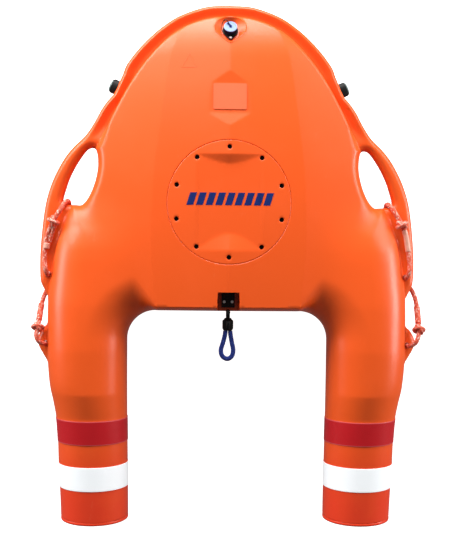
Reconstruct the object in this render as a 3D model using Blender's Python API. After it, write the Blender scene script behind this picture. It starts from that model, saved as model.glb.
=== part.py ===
"""U-shaped, remotely steered lifebuoy with two water jets.

It lies flat on its underside. +Y points to the bow, +X to the right, +Z up, all in metres.
The hull is two shells that meet at the seam. Each shell is one height field over the plan
outline: a roof-shaped deck, two leg tubes and the rim that carries the hand holds.
"""

import math

import bmesh
import bpy
import numpy as np
from mathutils import Matrix, Vector
from mathutils.geometry import delaunay_2d_cdt

for old in list(bpy.data.objects):
    bpy.data.objects.remove(old, do_unlink=True)

# Driving dimensions
GAP = 0.0003
SEAM_Z = 0.100
RIDGE_RISE = 0.104
BELLY_DROP = 0.100
ROOF_SLOPE = 0.114
FACET_SLOPE = 0.27
BOW_FALL = 0.55
BOW_BEND = 1.8
BOW_BEND_Y = 0.46
STERN_Y = -0.5885
EAR_END_Y = -0.262
CORE_END_Y = 0.055
NOZZLE_DEPTH = 0.007
LEG_END_Y = STERN_Y + NOZZLE_DEPTH
CROTCH_Y = -0.112
CROTCH_RADIUS = 0.065
BOW_CORE_Y = 0.570
# Forward of the crotch each leg's top is bridged to the chine, and it fades into the side facet
BRIDGE_START_Y = -0.19
BRIDGE_RUN = 0.12
LEG_FADE_Y = 0.02
LEG_FADE_RUN = 0.15
LEAST_RISE = 0.010
SIDE_ROUND = 0.022
BOW_ROUND = 0.007
CROTCH_ROUND = 0.012

RIM_RISE = 0.018
RIM_ROUND = 0.016
SEAM_EDGE = 0.001
OUTLINE_STEP = 0.029
GRID_STEP = 0.046

HATCH_Y = 0.1312
HATCH_RADIUS = 0.1375
HATCH_SCREW_RADIUS = 0.122
HATCH_SCREWS = 10
HATCH_SIDES = 60
HATCH_FLAT = (0.0247, 0.2372)
WELL = (0.200, 0.150)
WELL_FLOOR = 0.060
BATTERY = (0.190, 0.140, 0.080)

# The hatch's flat between two ramps: half the ramps' width, their length fore and aft
RAMP_HALF = 0.0704
RAMP_RUN = (0.031, 0.023)
SEAT_Z = 0.158
SCREW_HOLE = (0.0052, 0.007)

# The pocket in the deck: its floor's ends, its tips and its half widths there
POCKET_FLOOR_Y = (0.3293, 0.3976)
POCKET_TIPS = (0.3006, 0.4258)
POCKET_HALVES = (0.0461, 0.0397)
PLATE_Y = (0.3372, 0.3960)
PLATE_HALF = 0.0369
PLATE_THICK = 0.0015
PORT_ORIGIN = (0.0, 0.5200, 0.1405)
PORT_TILT = math.radians(26)
PORT_HALF = 0.0345
PORT_OVAL = 0.85
CAP_RADIUS = 0.0150
TETHER = 0.0018
LAMP = (0.2592, 0.3980)
LAMP_WAY = (0.91, 0.414)
LAMP_STRETCH = 1.32

DUCT_RADIUS = 0.0600
DUCT_WALL = 0.0040
DUCT_FRONT_Y = -0.400
TUNNEL_FRONT_Y = -0.235
BORE_START_Y = -0.60
IMPELLER_Y = (-0.500, -0.468)
IMPELLER_RADIUS = 0.0500
STATOR_Y = (-0.572, -0.530)
HUB_RADIUS = 0.018
SHAFT_RADIUS = 0.005
MOTOR_RADIUS = 0.030
NOZZLE_HOLE = 0.0500
INTAKE_Y = (-0.344, -0.236)
INTAKE_HALF = 0.034
GRILLE_Z = (0.0240, 0.0300)
GRILLE_SLOTS = 7

ROPE = 0.0105
LOOP_ROPE = 0.0105
TOW_FLOOR = 0.148
TOW_PIVOT_Y = -0.1115
TONGUE_RADIUS = 0.0130
FERRULE_LONG = 0.0285

# Half outline of the rim, bow tip to the end of the side flange
RIM = [
    (0.000, 0.5885), (0.054, 0.5850), (0.1141, 0.5642), (0.1568, 0.5365), (0.1879, 0.5089),
    (0.2133, 0.4812), (0.2340, 0.4535), (0.2408, 0.4400), (0.2454, 0.4265), (0.2555, 0.4040),
    (0.2650, 0.3830), (0.2722, 0.3742), (0.2820, 0.3625), (0.2951, 0.3429), (0.3098, 0.3152), (0.3285, 0.2875), (0.3562, 0.2599), (0.3775, 0.2322),
    (0.3994, 0.1907), (0.4139, 0.1492), (0.4219, 0.1077), (0.4277, 0.0523), (0.4300, 0.0108),
    (0.4300, -0.0250), (0.4277, -0.0491), (0.4200, -0.0660), (0.4120, -0.0814),
]
# Half outline of the leg's outer side with the rope ear, flange end to the tube
EAR = [
    (0.4110, -0.1000), (0.4112, -0.1400), (0.4240, -0.1560), (0.4325, -0.1720),
    (0.4335, -0.1860), (0.4290, -0.2000), (0.4150, -0.2245), (0.4085, -0.2380),
]
# The leg tube seen from above: its outer and inner side at stations along the leg
LEG_OUT = [
    (0.130, 0.3700), (0.080, 0.3840), (0.022, 0.3970), (-0.048, 0.4060), (-0.100, 0.4105),
    (-0.200, 0.4105), (-0.243, 0.4085), (-0.285, 0.4040), (-0.321, 0.3960), (-0.360, 0.3890),
    (-0.410, 0.3850), (-0.460, 0.3831), (-0.584, 0.3765), (-0.700, 0.3765),
]
LEG_IN = [
    (0.130, 0.2295), (-0.177, 0.2295), (-0.321, 0.2286), (-0.460, 0.2259), (-0.584, 0.2241),
    (-0.700, 0.2241),
]
# Height of the leg's crest over the seam, from the crease forward to where the facet takes over
LEG_CREST = [
    (-0.300, 0.0905), (-0.200, 0.0885), (-0.100, 0.0820), (0.000, 0.0725), (0.100, 0.0600),
    (0.170, 0.0490),
]
# Half outline of the raised body, bow to the leg's outer side, by way of the hand hole
CORE = [
    (0.000, 0.5610), (0.040, 0.5585), (0.075, 0.5495), (0.1085, 0.5340), (0.1400, 0.5120),
    (0.1640, 0.4885), (0.1860, 0.4630), (0.2040, 0.4400), (0.2215, 0.4140), (0.2390, 0.3850),
    (0.2530, 0.3590), (0.2680, 0.3290), (0.2810, 0.3020), (0.2950, 0.2760), (0.3080, 0.2480),
    (0.3150, 0.2200), (0.3200, 0.1900), (0.3300, 0.1620), (0.3430, 0.1400), (0.3600, 0.1220),
    (0.3735, 0.1050), (0.3825, 0.0830), (0.3860, 0.0720),
]
HAND_HOLE = [
    (0.3159, 0.2575), (0.3285, 0.2480), (0.3481, 0.2184), (0.3631, 0.1880), (0.3724, 0.1600),
    (0.3775, 0.1400), (0.3730, 0.1300), (0.3500, 0.1275), (0.3340, 0.1290), (0.3182, 0.1492),
    (0.3050, 0.1840), (0.2995, 0.2200), (0.3040, 0.2530),
]
# Where the roof breaks into the side facets, from the crotch to the bow
CHINE = [
    (-0.112, 0.1600), (0.038, 0.1714), (0.184, 0.1680), (0.2700, 0.1597), (0.3320, 0.1520),
    (0.390, 0.1447), (0.430, 0.1385), (0.4715, 0.1307), (0.4995, 0.1207), (0.522, 0.1110),
    (0.545, 0.0990), (0.590, 0.0740),
]
FLANGE_HOLE = (0.4085, -0.0320)
EAR_HOLE = (0.4135, -0.1880)
ROPE_HOLE = 0.0100


def material(name, color, roughness, metallic=0.0):
    made = bpy.data.materials.new(name)
    made.use_nodes = True
    shader = made.node_tree.nodes["Principled BSDF"]
    shader.inputs["Base Color"].default_value = (*color, 1.0)
    shader.inputs["Roughness"].default_value = roughness
    shader.inputs["Metallic"].default_value = metallic
    return made


ORANGE = material("orange_polyethylene", (0.86, 0.13, 0.02), 0.45)
BLACK = material("black_plastic", (0.012, 0.012, 0.013), 0.40)
STEEL = material("stainless_steel", (0.62, 0.62, 0.60), 0.30, 1.0)
BLUE_METAL = material("blue_anodised_cap", (0.12, 0.22, 0.50), 0.30, 1.0)
RED_TAPE = material("red_reflective_tape", (0.42, 0.012, 0.015), 0.30)
WHITE_TAPE = material("white_reflective_tape", (0.85, 0.87, 0.90), 0.30)
ORANGE_ROPE = material("orange_rope", (0.80, 0.20, 0.12), 0.80)
BLUE_ROPE = material("blue_rope", (0.02, 0.04, 0.28), 0.70)
LENS = material("lamp_lens", (0.25, 0.33, 0.30), 0.10)
BATTERY_GREY = material("battery_case", (0.10, 0.10, 0.11), 0.50)


def smooth_through(points, step, closed=False):
    """Points about one step apart on a Catmull-Rom curve through the given ones."""
    p = np.array(points, float)
    n = len(p)
    spans = n if closed else n - 1
    out = []
    for i in range(spans):
        if closed:
            a, b, c, d = p[i - 1], p[i], p[(i + 1) % n], p[(i + 2) % n]
        else:
            a, b, c, d = p[max(i - 1, 0)], p[i], p[i + 1], p[min(i + 2, n - 1)]
        count = max(1, round(float(np.linalg.norm(c - b)) / step))
        for k in range(count):
            t = k / count
            out.append(0.5 * (2 * b + (c - a) * t + (2 * a - 5 * b + 4 * c - d) * t**2
                              + (3 * b - a - 3 * c + d) * t**3))
    if not closed:
        out.append(p[-1])
    return np.array(out)


def along(table, y):
    """The value of a table of (y, value) stations at y, on a smooth curve."""
    fine = smooth_through(table, 0.004)
    order = np.argsort(fine[:, 0])
    return np.interp(y, fine[order, 0], fine[order, 1])


def smoothstep(t):
    t = np.clip(t, 0.0, 1.0)
    return t * t * (3 - 2 * t)


def straight(a, b, step):
    count = max(1, round(math.dist(a, b) / step))
    return np.array([np.add(a, np.subtract(b, a) * k / count) for k in range(count)])


def mirrored_loop(half):
    """A closed loop from its right half, which starts and ends on the centreline."""
    left = half[1:-1][::-1] * (-1, 1)
    return np.concatenate([half, left])


def crotch_side(step):
    """From the leg's end up its inner side, round the corner and along to the centreline."""
    centre = (LEG_IN[0][1] - CROTCH_RADIUS, CROTCH_Y - CROTCH_RADIUS)
    ys = np.linspace(LEG_END_Y, centre[1], max(2, round((centre[1] - LEG_END_Y) / step)))[:-1]
    up = np.stack([along(LEG_IN, ys), ys], axis=1)
    turns = max(4, round(CROTCH_RADIUS * math.pi / 2 / step * 1.5))
    angles = np.linspace(0, math.pi / 2, turns + 1)
    corner = centre + CROTCH_RADIUS * np.stack([np.cos(angles), np.sin(angles)], axis=1)
    edge = straight((centre[0], CROTCH_Y), (0, CROTCH_Y), step)[1:]
    return np.concatenate([up, corner, edge, [(0, CROTCH_Y)]])


def leg_outer(top_y, bottom_y, step):
    ys = np.linspace(top_y, bottom_y, max(2, round((top_y - bottom_y) / step)))
    return np.stack([along(LEG_OUT, ys), ys], axis=1)


def hull_outline(step):
    end = (float(along(LEG_OUT, LEG_END_Y)), LEG_END_Y)
    half = np.concatenate([
        smooth_through(RIM, step), smooth_through(EAR, step * 0.7),
        leg_outer(EAR_END_Y, LEG_END_Y, step)[:-1],
        straight(end, (float(along(LEG_IN, LEG_END_Y)), LEG_END_Y), step),
        crotch_side(step),
    ])
    return mirrored_loop(half)


def core_outline(step):
    """The raised body's edge. It runs on past the legs' ends, which are cut flat."""
    far = LEG_END_Y - 0.2
    half = np.concatenate([
        smooth_through(CORE, step), leg_outer(CORE_END_Y, far, step),
        [(float(along(LEG_IN, far)), far)], crotch_side(step),
    ])
    return mirrored_loop(half)


def distance(points, loop):
    """How far each point is from a closed loop's line."""
    best = np.full(len(points), 1e9)
    for a, b in zip(loop, np.roll(loop, -1, axis=0)):
        ab = b - a
        t = np.clip((points - a) @ ab / max(ab @ ab, 1e-12), 0, 1)
        best = np.minimum(best, np.linalg.norm(points - (a + t[:, None] * ab), axis=1))
    return best


def inside(points, loop):
    x, y = points[:, 0], points[:, 1]
    odd = np.zeros(len(points), bool)
    for (ax, ay), (bx, by) in zip(loop, np.roll(loop, -1, axis=0)):
        if ay != by:
            odd ^= ((ay > y) != (by > y)) & (x < (bx - ax) * (y - ay) / (by - ay) + ax)
    return odd


def leg_tube(y):
    """(centre x, radius) of the leg tube at y."""
    outer, inner = along(LEG_OUT, y), along(LEG_IN, y)
    return (outer + inner) / 2, (outer - inner) / 2


def roof(ax, y, upper):
    """The body's own height above the seam: the roof, and the sides that pass into the legs."""
    s = np.clip((y - CROTCH_Y) / (BOW_CORE_Y - CROTCH_Y), 0, 1)
    fall = 1 - BOW_FALL * s**2.6
    bend = BOW_BEND * np.clip(y - BOW_BEND_Y, 0, None) ** 2
    chine = along(CHINE, y)
    slope = ROOF_SLOPE if upper else 0.0
    middle = (RIDGE_RISE if upper else BELLY_DROP) * fall - bend
    shoulder = middle - slope * chine
    out = np.clip(ax - chine, 0, None)
    centre, tube = leg_tube(y)
    crest = np.minimum(tube, np.interp(y, *np.transpose(LEG_CREST)))
    span = centre - chine
    t = np.clip(out / span, 0, 1)
    bridge = shoulder - FACET_SLOPE * span * t * (1 - t) ** 2 + (crest - shoulder) * smoothstep(t)
    leg = crest + (bridge - crest) * smoothstep((y - BRIDGE_START_Y) / BRIDGE_RUN)
    facet = shoulder - FACET_SLOPE * out
    side = leg + (facet - leg) * smoothstep((y - LEG_FADE_Y) / LEG_FADE_RUN)
    return np.where(ax < chine, middle - slope * ax, side)


def edge_round(ax, y):
    """How far in from the body's edge its rounding reaches."""
    tube = leg_tube(y)[1]
    bow = (BOW_ROUND - SIDE_ROUND) * smoothstep((y - 0.25) / 0.07)
    side = SIDE_ROUND + bow + (tube - SIDE_ROUND) * smoothstep((0.15 - y) / 0.08)
    return CROTCH_ROUND + (side - CROTCH_ROUND) * np.maximum(smoothstep((ax - 0.155) / 0.06), y > 0.15)


def height(points, rim_loops, core_loop, upper=True):
    """Height above (or depth below) the seam at each plan point."""
    ax, y = np.abs(points[:, 0]), points[:, 1]
    top = np.maximum(roof(ax, y, upper), LEAST_RISE)
    edges = [core_loop] + rim_loops[1:]
    to_edge = np.min([distance(points, loop) for loop in edges], axis=0)
    reach = np.clip(to_edge / edge_round(ax, y), 0, 1)
    core = top * np.sqrt(1 - (1 - reach) ** 2) * inside(points, core_loop)
    to_rim = np.min([distance(points, loop) for loop in rim_loops], axis=0)
    reach = np.clip(to_rim / RIM_ROUND, 0, 1)
    rim = RIM_RISE * np.sqrt(1 - (1 - reach) ** 2)
    return (core**4 + rim**4) ** 0.25


def object_of(name, mesh, paint):
    obj = bpy.data.objects.new(name, mesh)
    bpy.context.scene.collection.objects.link(obj)
    mesh.materials.append(paint)
    return obj


def solid(name, vertices, faces, paint):
    mesh = bpy.data.meshes.new(name)
    mesh.from_pydata([tuple(v) for v in vertices], [], faces)
    form = bmesh.new()
    form.from_mesh(mesh)
    bmesh.ops.recalc_face_normals(form, faces=form.faces)
    form.to_mesh(mesh)
    form.free()
    mesh.shade_smooth()
    mesh.set_sharp_from_angle(angle=math.radians(35))
    return object_of(name, mesh, paint)


def inward_rings(loop, parts, reach_of):
    """Points inside a loop at parts of the rounding's reach, where they keep their distance."""
    before, after = np.roll(loop, 1, axis=0), np.roll(loop, -1, axis=0)
    tangent = after - before
    tangent /= np.linalg.norm(tangent, axis=1)[:, None]
    normal = np.stack([tangent[:, 1], -tangent[:, 0]], axis=1)
    out = []
    for part in parts:
        reach = part * reach_of(np.abs(loop[:, 0]), loop[:, 1])
        for sign in (1, -1):
            moved = loop + sign * normal * reach[:, None]
            keep = distance(moved, loop) > 0.9 * reach
            out.append(moved[keep])
    return np.concatenate(out)


def hull_shell(name, upper):
    """One half of the hull above or below the seam, closed by a flat face at the seam."""
    hole = smooth_through(HAND_HOLE, OUTLINE_STEP * 0.8, closed=True)
    loops = [hull_outline(OUTLINE_STEP), hole, (hole * (-1, 1))[::-1]]
    core = core_outline(OUTLINE_STEP)
    counts = [len(loop) for loop in loops]
    edge_points = np.concatenate(loops)
    border, start = [], 0
    for count in counts:
        border += [(start + i, start + (i + 1) % count) for i in range(count)]
        start += count

    def near_edge(ax, y):
        leg = (y < CROTCH_Y) | ((y < 0) & (ax < 0.3))
        return np.where(leg, edge_round(ax, y), RIM_ROUND)

    free = [inward_rings(loop, (0.1, 0.45), near_edge) for loop in loops]
    free.append(inward_rings(core, (0.0, 0.15, 0.5, 1.0), edge_round))
    ys = np.arange(CROTCH_Y + 0.012, BOW_CORE_Y - 0.03, GRID_STEP)
    chine = np.stack([along(CHINE, ys), ys], axis=1)
    ridge = np.stack([np.zeros(len(ys)), ys], axis=1)
    lines = [chine, chine * (-1, 1)] + ([ridge] if upper else [])
    gx, gy = np.meshgrid(np.arange(-0.45, 0.46, GRID_STEP), np.arange(LEG_END_Y, 0.6, GRID_STEP))
    free.append(np.stack([gx.ravel(), gy.ravel()], axis=1))
    free = np.concatenate(free)
    lined = np.concatenate(lines)
    edges, first = list(border), len(edge_points)
    for line in lines:
        edges += [(first + i, first + i + 1) for i in range(len(line) - 1)]
        first += len(line)
    keep = inside(free, loops[0]) & ~inside(free, loops[1]) & ~inside(free, loops[2])
    keep &= np.min([distance(free, loop) for loop in loops], axis=0) > 0.0012
    keep &= np.min(np.linalg.norm(free[:, None] - lined[None], axis=2), axis=1) > GRID_STEP * 0.4
    free = free[keep]
    chosen = []
    for point in free:
        if all(abs(point[0] - q[0]) + abs(point[1] - q[1]) > 0.004 for q in chosen[-400:]):
            chosen.append(point)
    plan = np.concatenate([edge_points, lined, chosen])
    points, _, triangles, _, _, _ = delaunay_2d_cdt([Vector(p) for p in plan], edges, [], 0, 1e-7)
    points = np.array([tuple(p) for p in points])
    middle = points[np.array(triangles)].mean(axis=1)
    good = inside(middle, loops[0]) & ~inside(middle, loops[1]) & ~inside(middle, loops[2])
    triangles = np.array(triangles)[good]
    side = 1 if upper else -1
    seam = SEAM_Z + side * GAP / 2
    rise = np.maximum(height(points, loops, core, upper), SEAM_EDGE)
    rise[:len(edge_points)] = SEAM_EDGE
    flat, _, cover, _, _, _ = delaunay_2d_cdt([Vector(p) for p in edge_points], border, [], 0, 1e-7)
    flat = np.array([tuple(p) for p in flat])
    middle = flat[np.array(cover)].mean(axis=1)
    good = inside(middle, loops[0]) & ~inside(middle, loops[1]) & ~inside(middle, loops[2])
    cover = np.array(cover)[good]
    n = len(points)
    outer = np.column_stack([points, seam + side * rise])
    inner = np.column_stack([flat, np.full(len(flat), seam)])
    faces = [tuple(t) if upper else tuple(t[::-1]) for t in triangles]
    faces += [tuple(t[::-1] + n) if upper else tuple(t + n) for t in cover]
    faces += [(a, b, b + n, a + n) for a, b in border]
    return solid(name, np.concatenate([outer, inner]), faces, ORANGE)


hull_upper = hull_shell("hull_upper", True)
hull_lower = hull_shell("hull_lower", False)


def turned(name, profile, paint, sides=24, place=None):
    """A solid turned about Z from (radius, height) points; a radius of zero closes an end."""
    rings, vertices = [], []
    for radius, z in profile:
        start = len(vertices)
        if radius == 0:
            vertices.append((0, 0, z))
            rings.append([start] * sides)
            continue
        for k in range(sides):
            a = 2 * math.pi * k / sides
            vertices.append((radius * math.cos(a), radius * math.sin(a), z))
        rings.append([start + k for k in range(sides)])
    closed = profile[0][0] != 0
    pairs = list(zip(rings, rings[1:])) + ([(rings[-1], rings[0])] if closed else [])
    faces = []
    for low, high in pairs:
        for k in range(sides):
            n = (k + 1) % sides
            corner = [low[k], low[n], high[n], high[k]]
            faces.append(tuple(dict.fromkeys(corner)))
    obj = solid(name, vertices, faces, paint)
    if place is not None:
        obj.matrix_world = place
    return obj


def prism(name, outline, low, high, paint, place=None):
    """A plan outline carried straight up from low to high."""
    n = len(outline)
    vertices = [(x, y, low) for x, y in outline] + [(x, y, high) for x, y in outline]
    faces = [tuple(range(n)), tuple(range(n, 2 * n))]
    faces += [(i, (i + 1) % n, (i + 1) % n + n, i + n) for i in range(n)]
    obj = solid(name, vertices, faces, paint)
    if place is not None:
        obj.matrix_world = place
    return obj


def box(name, low, high, paint, place=None):
    outline = [(low[0], low[1]), (high[0], low[1]), (high[0], high[1]), (low[0], high[1])]
    return prism(name, outline, low[2], high[2], paint, place)


def arc(centre, radius, start, end, count):
    """Points on an arc, in degrees, both ends included."""
    angles = np.radians(np.linspace(start, end, count))
    return [(centre[0] + radius * math.cos(a), centre[1] + radius * math.sin(a)) for a in angles]


def frame_at(origin, axis):
    """A matrix that takes Z to the axis at the origin."""
    return Matrix.Translation(origin) @ Vector(axis).to_track_quat("Z", "Y").to_matrix().to_4x4()


def cut(obj, cutter, operation="DIFFERENCE"):
    cutter.hide_render = True
    cutter.display_type = "WIRE"
    step = obj.modifiers.new(cutter.name, "BOOLEAN")
    step.operation = operation
    step.solver = "EXACT"
    step.object = cutter


def cord(name, route, diameter, paint, resolution=3):
    """A round cord on a smooth curve through its route, with flat ends."""
    points = smooth_through(route, 2.2 * diameter)
    curve = bpy.data.curves.new(name, "CURVE")
    curve.dimensions = "3D"
    curve.bevel_depth = diameter / 2
    curve.bevel_resolution = resolution
    curve.use_fill_caps = True
    spline = curve.splines.new("POLY")
    spline.points.add(len(points) - 1)
    for target, point in zip(spline.points, points):
        target.co = (*point, 1)
    return object_of(name, curve, paint)


def roof_z(x, y):
    """Height of the deck's own surface over the floor."""
    return SEAM_Z + float(roof(np.array([abs(x)]), np.array([y]), True)[0])


# The hatch is a disc with the deck's own roof shape, flat between two ramps
FLAT_SINK = ROOF_SLOPE * RAMP_HALF
FLAT_SLOPE = (roof_z(0, HATCH_FLAT[1]) - roof_z(0, HATCH_FLAT[0])) / (HATCH_FLAT[1] - HATCH_FLAT[0])


def hatch_height(x, y):
    deck = roof_z(x, y)
    level = roof_z(0, HATCH_FLAT[0]) - FLAT_SINK + FLAT_SLOPE * (y - HATCH_FLAT[0])
    aft = roof_z(x, HATCH_FLAT[0]) - FLAT_SINK / RAMP_RUN[0] * (y - HATCH_FLAT[0])
    fore = roof_z(x, HATCH_FLAT[1]) - FLAT_SINK / RAMP_RUN[1] * (HATCH_FLAT[1] - y)
    return min(deck, max(level, aft, fore))


def hatch_cover():
    radius = HATCH_RADIUS - GAP
    turns = np.linspace(0, 2 * math.pi, HATCH_SIDES, endpoint=False)
    rim = [(radius * math.sin(a), HATCH_Y + radius * math.cos(a)) for a in turns]
    edges = [(i, (i + 1) % HATCH_SIDES) for i in range(HATCH_SIDES)]
    inner = [(x, y) for x in np.linspace(-0.12, 0.12, 13) for y in np.linspace(0.004, 0.256, 15)]
    tips = []
    for (chord, run, sign) in ((HATCH_FLAT[0], RAMP_RUN[0], 1), (HATCH_FLAT[1], RAMP_RUN[1], -1)):
        start = HATCH_SIDES + len(tips)
        tips += [(-RAMP_HALF, chord), (0, chord), (RAMP_HALF, chord), (0, chord + sign * run)]
        edges += [(start, start + 1), (start + 1, start + 2), (start, start + 3), (start + 2, start + 3)]
    inner = [p for p in inner if math.hypot(p[0], p[1] - HATCH_Y) < radius - 0.008
             and all(math.dist(p, t) > 0.010 for t in tips)]
    plan = [Vector(p) for p in rim + tips + inner]
    points, _, triangles, _, _, _ = delaunay_2d_cdt(plan, edges, [], 0, 1e-7)
    top = [(p.x, p.y, hatch_height(p.x, p.y)) for p in points]
    n = len(top)
    bottom = [(p[0], p[1], SEAT_Z + GAP) for p in rim]
    faces = [tuple(t) for t in triangles] + [tuple(range(n, n + HATCH_SIDES))]
    faces += [(a, b, b + n, a + n) for a, b in edges[:HATCH_SIDES]]
    return solid("hatch_cover", top + bottom, faces, ORANGE)


hatch = hatch_cover()
seat_place = Matrix.Translation((0, HATCH_Y, 0)) @ Matrix.Rotation(math.pi / 2, 4, "Z")
seat = turned("seat_cutter", [(0, SEAT_Z), (HATCH_RADIUS, SEAT_Z), (HATCH_RADIUS, 0.25), (0, 0.25)],
              ORANGE, HATCH_SIDES, seat_place)
cut(hull_upper, seat)
well = box("well_cutter", (-WELL[0] / 2, HATCH_Y - WELL[1] / 2, WELL_FLOOR),
           (WELL[0] / 2, HATCH_Y + WELL[1] / 2, SEAT_Z + 0.01), ORANGE)
cut(hull_upper, well)
cut(hull_lower, well)
box("battery_pack", (-BATTERY[0] / 2, HATCH_Y - BATTERY[1] / 2, WELL_FLOOR + GAP),
    (BATTERY[0] / 2, HATCH_Y + BATTERY[1] / 2, WELL_FLOOR + GAP + BATTERY[2]), BATTERY_GREY)
for k in range(HATCH_SCREWS):
    turn = math.radians(90 + 360 * k / HATCH_SCREWS)
    x, y = HATCH_SCREW_RADIUS * math.cos(turn), HATCH_Y + HATCH_SCREW_RADIUS * math.sin(turn)
    z = hatch_height(x, y)
    low, high = z - SCREW_HOLE[1], z + 0.02
    hole = turned(f"screw_cutter_{k}", [(0, low), (SCREW_HOLE[0], low), (SCREW_HOLE[0], high), (0, high)],
                  ORANGE, 10, Matrix.Translation((x, y, 0)))
    cut(hatch, hole)

# The pocket in the roof's ridge, with a blank plate on its flat floor
floor_aft, floor_fore = (roof_z(0, y) - ROOF_SLOPE * half for y, half in zip(POCKET_FLOOR_Y, POCKET_HALVES))
profile = [
    (POCKET_TIPS[0], roof_z(0, POCKET_TIPS[0])), (POCKET_FLOOR_Y[0], floor_aft),
    (POCKET_FLOOR_Y[1], floor_fore), (POCKET_TIPS[1], roof_z(0, POCKET_TIPS[1])),
    (POCKET_TIPS[1] + 0.02, 0.26), (POCKET_TIPS[0] - 0.02, 0.26),
]
upright = Matrix(((0, 0, 1, 0), (1, 0, 0, 0), (0, 1, 0, 0), (0, 0, 0, 1)))
pocket = prism("pocket_cutter", profile, -0.08, 0.08, ORANGE, upright)
cut(hull_upper, pocket)
floor_long = POCKET_FLOOR_Y[1] - POCKET_FLOOR_Y[0]
plate_y = (PLATE_Y[0] + PLATE_Y[1]) / 2
plate_z = floor_aft + (floor_fore - floor_aft) * (plate_y - POCKET_FLOOR_Y[0]) / floor_long
floor_tilt = math.atan2(floor_fore - floor_aft, floor_long)
plate_frame = Matrix.Translation((0, plate_y, plate_z)) @ Matrix.Rotation(floor_tilt, 4, "X")
half = (PLATE_Y[1] - PLATE_Y[0]) / 2
box("deck_plate", (-PLATE_HALF, -half, GAP), (PLATE_HALF, half, PLATE_THICK), ORANGE, plate_frame)

# The charging port in the bow: a tilted recess, a flange with its cap and the cap's cord
port_frame = Matrix.Translation(PORT_ORIGIN) @ Matrix.Rotation(-PORT_TILT, 4, "X")
recess = [(x, y * PORT_OVAL) for x, y in arc((0, 0), PORT_HALF, -25, 205, 16)]
recess += arc((0, -0.0330), 0.007, 215, 325, 5)
cut(hull_upper, prism("port_cutter", recess, 0, 0.06, ORANGE, port_frame))
flange = arc((0, 0), 0.0175, -35, 35, 5) + arc((0, 0.0215), 0.0045, 50, 130, 4)
flange += arc((0, 0), 0.0175, 145, 215, 5) + arc((0, -0.0215), 0.0045, 230, 310, 4)
prism("port_flange", flange, GAP, 0.004, BLACK, port_frame)
cap = [(0, 0.0043), (CAP_RADIUS, 0.0043), (CAP_RADIUS, 0.0150), (CAP_RADIUS - 0.0012, 0.0165), (0, 0.0165)]
turned("port_cap", cap, BLUE_METAL, 24, port_frame)
tether = [
    (0.001, 0.0005, 0.0180), (-0.001, 0.006, 0.0200), (-0.006, 0.013, 0.0205), (-0.0125, 0.0165, 0.0185),
    (-0.0180, 0.0130, 0.0135), (-0.0195, 0.0040, 0.0090), (-0.0185, -0.0040, 0.0060),
    (-0.0155, -0.0095, 0.0052),
]
cord("cap_tether", [port_frame @ Vector(p) for p in tether], TETHER, BLACK, 2)


def mirror(name, sign):
    return f"{name}_{'right' if sign > 0 else 'left'}"


# Side lamps: an oval black base let into a flat of the rim, and a clear dome
LAMP_SOCKET = [(0, -0.012), (0.0128, -0.012), (0.0128, 0.03), (0, 0.03)]
LAMP_BASE = [(0, -0.0117), (0.0125, -0.0117), (0.0125, 0.0040), (0.0118, 0.0050), (0, 0.0050)]
LAMP_DOME = [
    (0, 0.0053), (0.0115, 0.0053), (0.0113, 0.0075), (0.0095, 0.0115), (0.0055, 0.0145), (0, 0.0155),
]
for sign in (1, -1):
    way = Vector((sign * LAMP_WAY[0], LAMP_WAY[1], 0)).normalized()
    spot = frame_at((sign * LAMP[0], LAMP[1], SEAM_Z), way) @ Matrix.Diagonal((LAMP_STRETCH, 1, 1, 1))
    socket = turned(mirror("lamp_cutter", sign), LAMP_SOCKET, BLACK, 20, spot)
    cut(hull_upper, socket)
    cut(hull_lower, socket)
    turned(mirror("lamp_base", sign), LAMP_BASE, BLACK, 20, spot)
    turned(mirror("lamp_lens", sign), LAMP_DOME, LENS, 20, spot)

# The tow fitting in the crotch edge
recess = [(-0.0234, -0.0674), (0.0234, -0.0674), (0.0275, -0.1300), (-0.0275, -0.1300)]
cut(hull_upper, prism("tow_cutter", recess, TOW_FLOOR, 0.25, BLACK))
block = [(-0.0145, -0.0690), (0.0145, -0.0690), (0.0145, -0.1020), (-0.0145, -0.1020)]
block_node = prism("tow_bracket", block, TOW_FLOOR + GAP, TOW_FLOOR + 0.018, BLACK)
tongue = [(TONGUE_RADIUS, -0.0900), (TONGUE_RADIUS, -0.1060)] + arc((0, -0.1060), TONGUE_RADIUS, 0, -180, 9)
tongue.append((-TONGUE_RADIUS, -0.0900))
cut(block_node, prism("tongue_cutter", tongue, TOW_FLOOR + 0.0022, TOW_FLOOR + 0.0072, BLACK), "UNION")
tow_hole = [(0, 0.14), (0.0042, 0.14), (0.0042, 0.2), (0, 0.2)]
cut(block_node, turned("tow_hole_cutter", tow_hole, BLACK, 12, Matrix.Translation((0, TOW_PIVOT_Y, 0))))

# The swinging loop: a fork pinned through the tongue, a ferrule and the blue rope
pivot_z = TOW_FLOOR + 0.0047
pivot = Matrix.Translation((0, TOW_PIVOT_Y, pivot_z)) @ Matrix.Rotation(math.pi, 4, "Z")
fork_end = arc((0, 0), 0.0045, 180, 360, 9) + [(0.0045, 0.0140), (-0.0045, 0.0140)]
tow_fork = box("tow_fork", (-0.0045, 0.0105, -0.0049), (0.0045, 0.0140, 0.0049), BLACK, pivot)
for label, low in (("low", -0.0049), ("high", 0.0029)):
    cut(tow_fork, prism(f"fork_plate_{label}", fork_end, low, low + 0.0020, BLACK, pivot), "UNION")
pin = [(0, -0.0040), (0.0036, -0.0040), (0.0036, 0.0040), (0, 0.0040)]
cut(tow_fork, turned("fork_pin", pin, BLACK, 12, pivot), "UNION")
ferrule_y = TOW_PIVOT_Y - 0.0140 - GAP
ferrule = [
    (0, 0), (0.0095, 0), (0.0125, 0.0030), (0.0125, 0.0270), (0.0115, FERRULE_LONG), (0, FERRULE_LONG),
]
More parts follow.
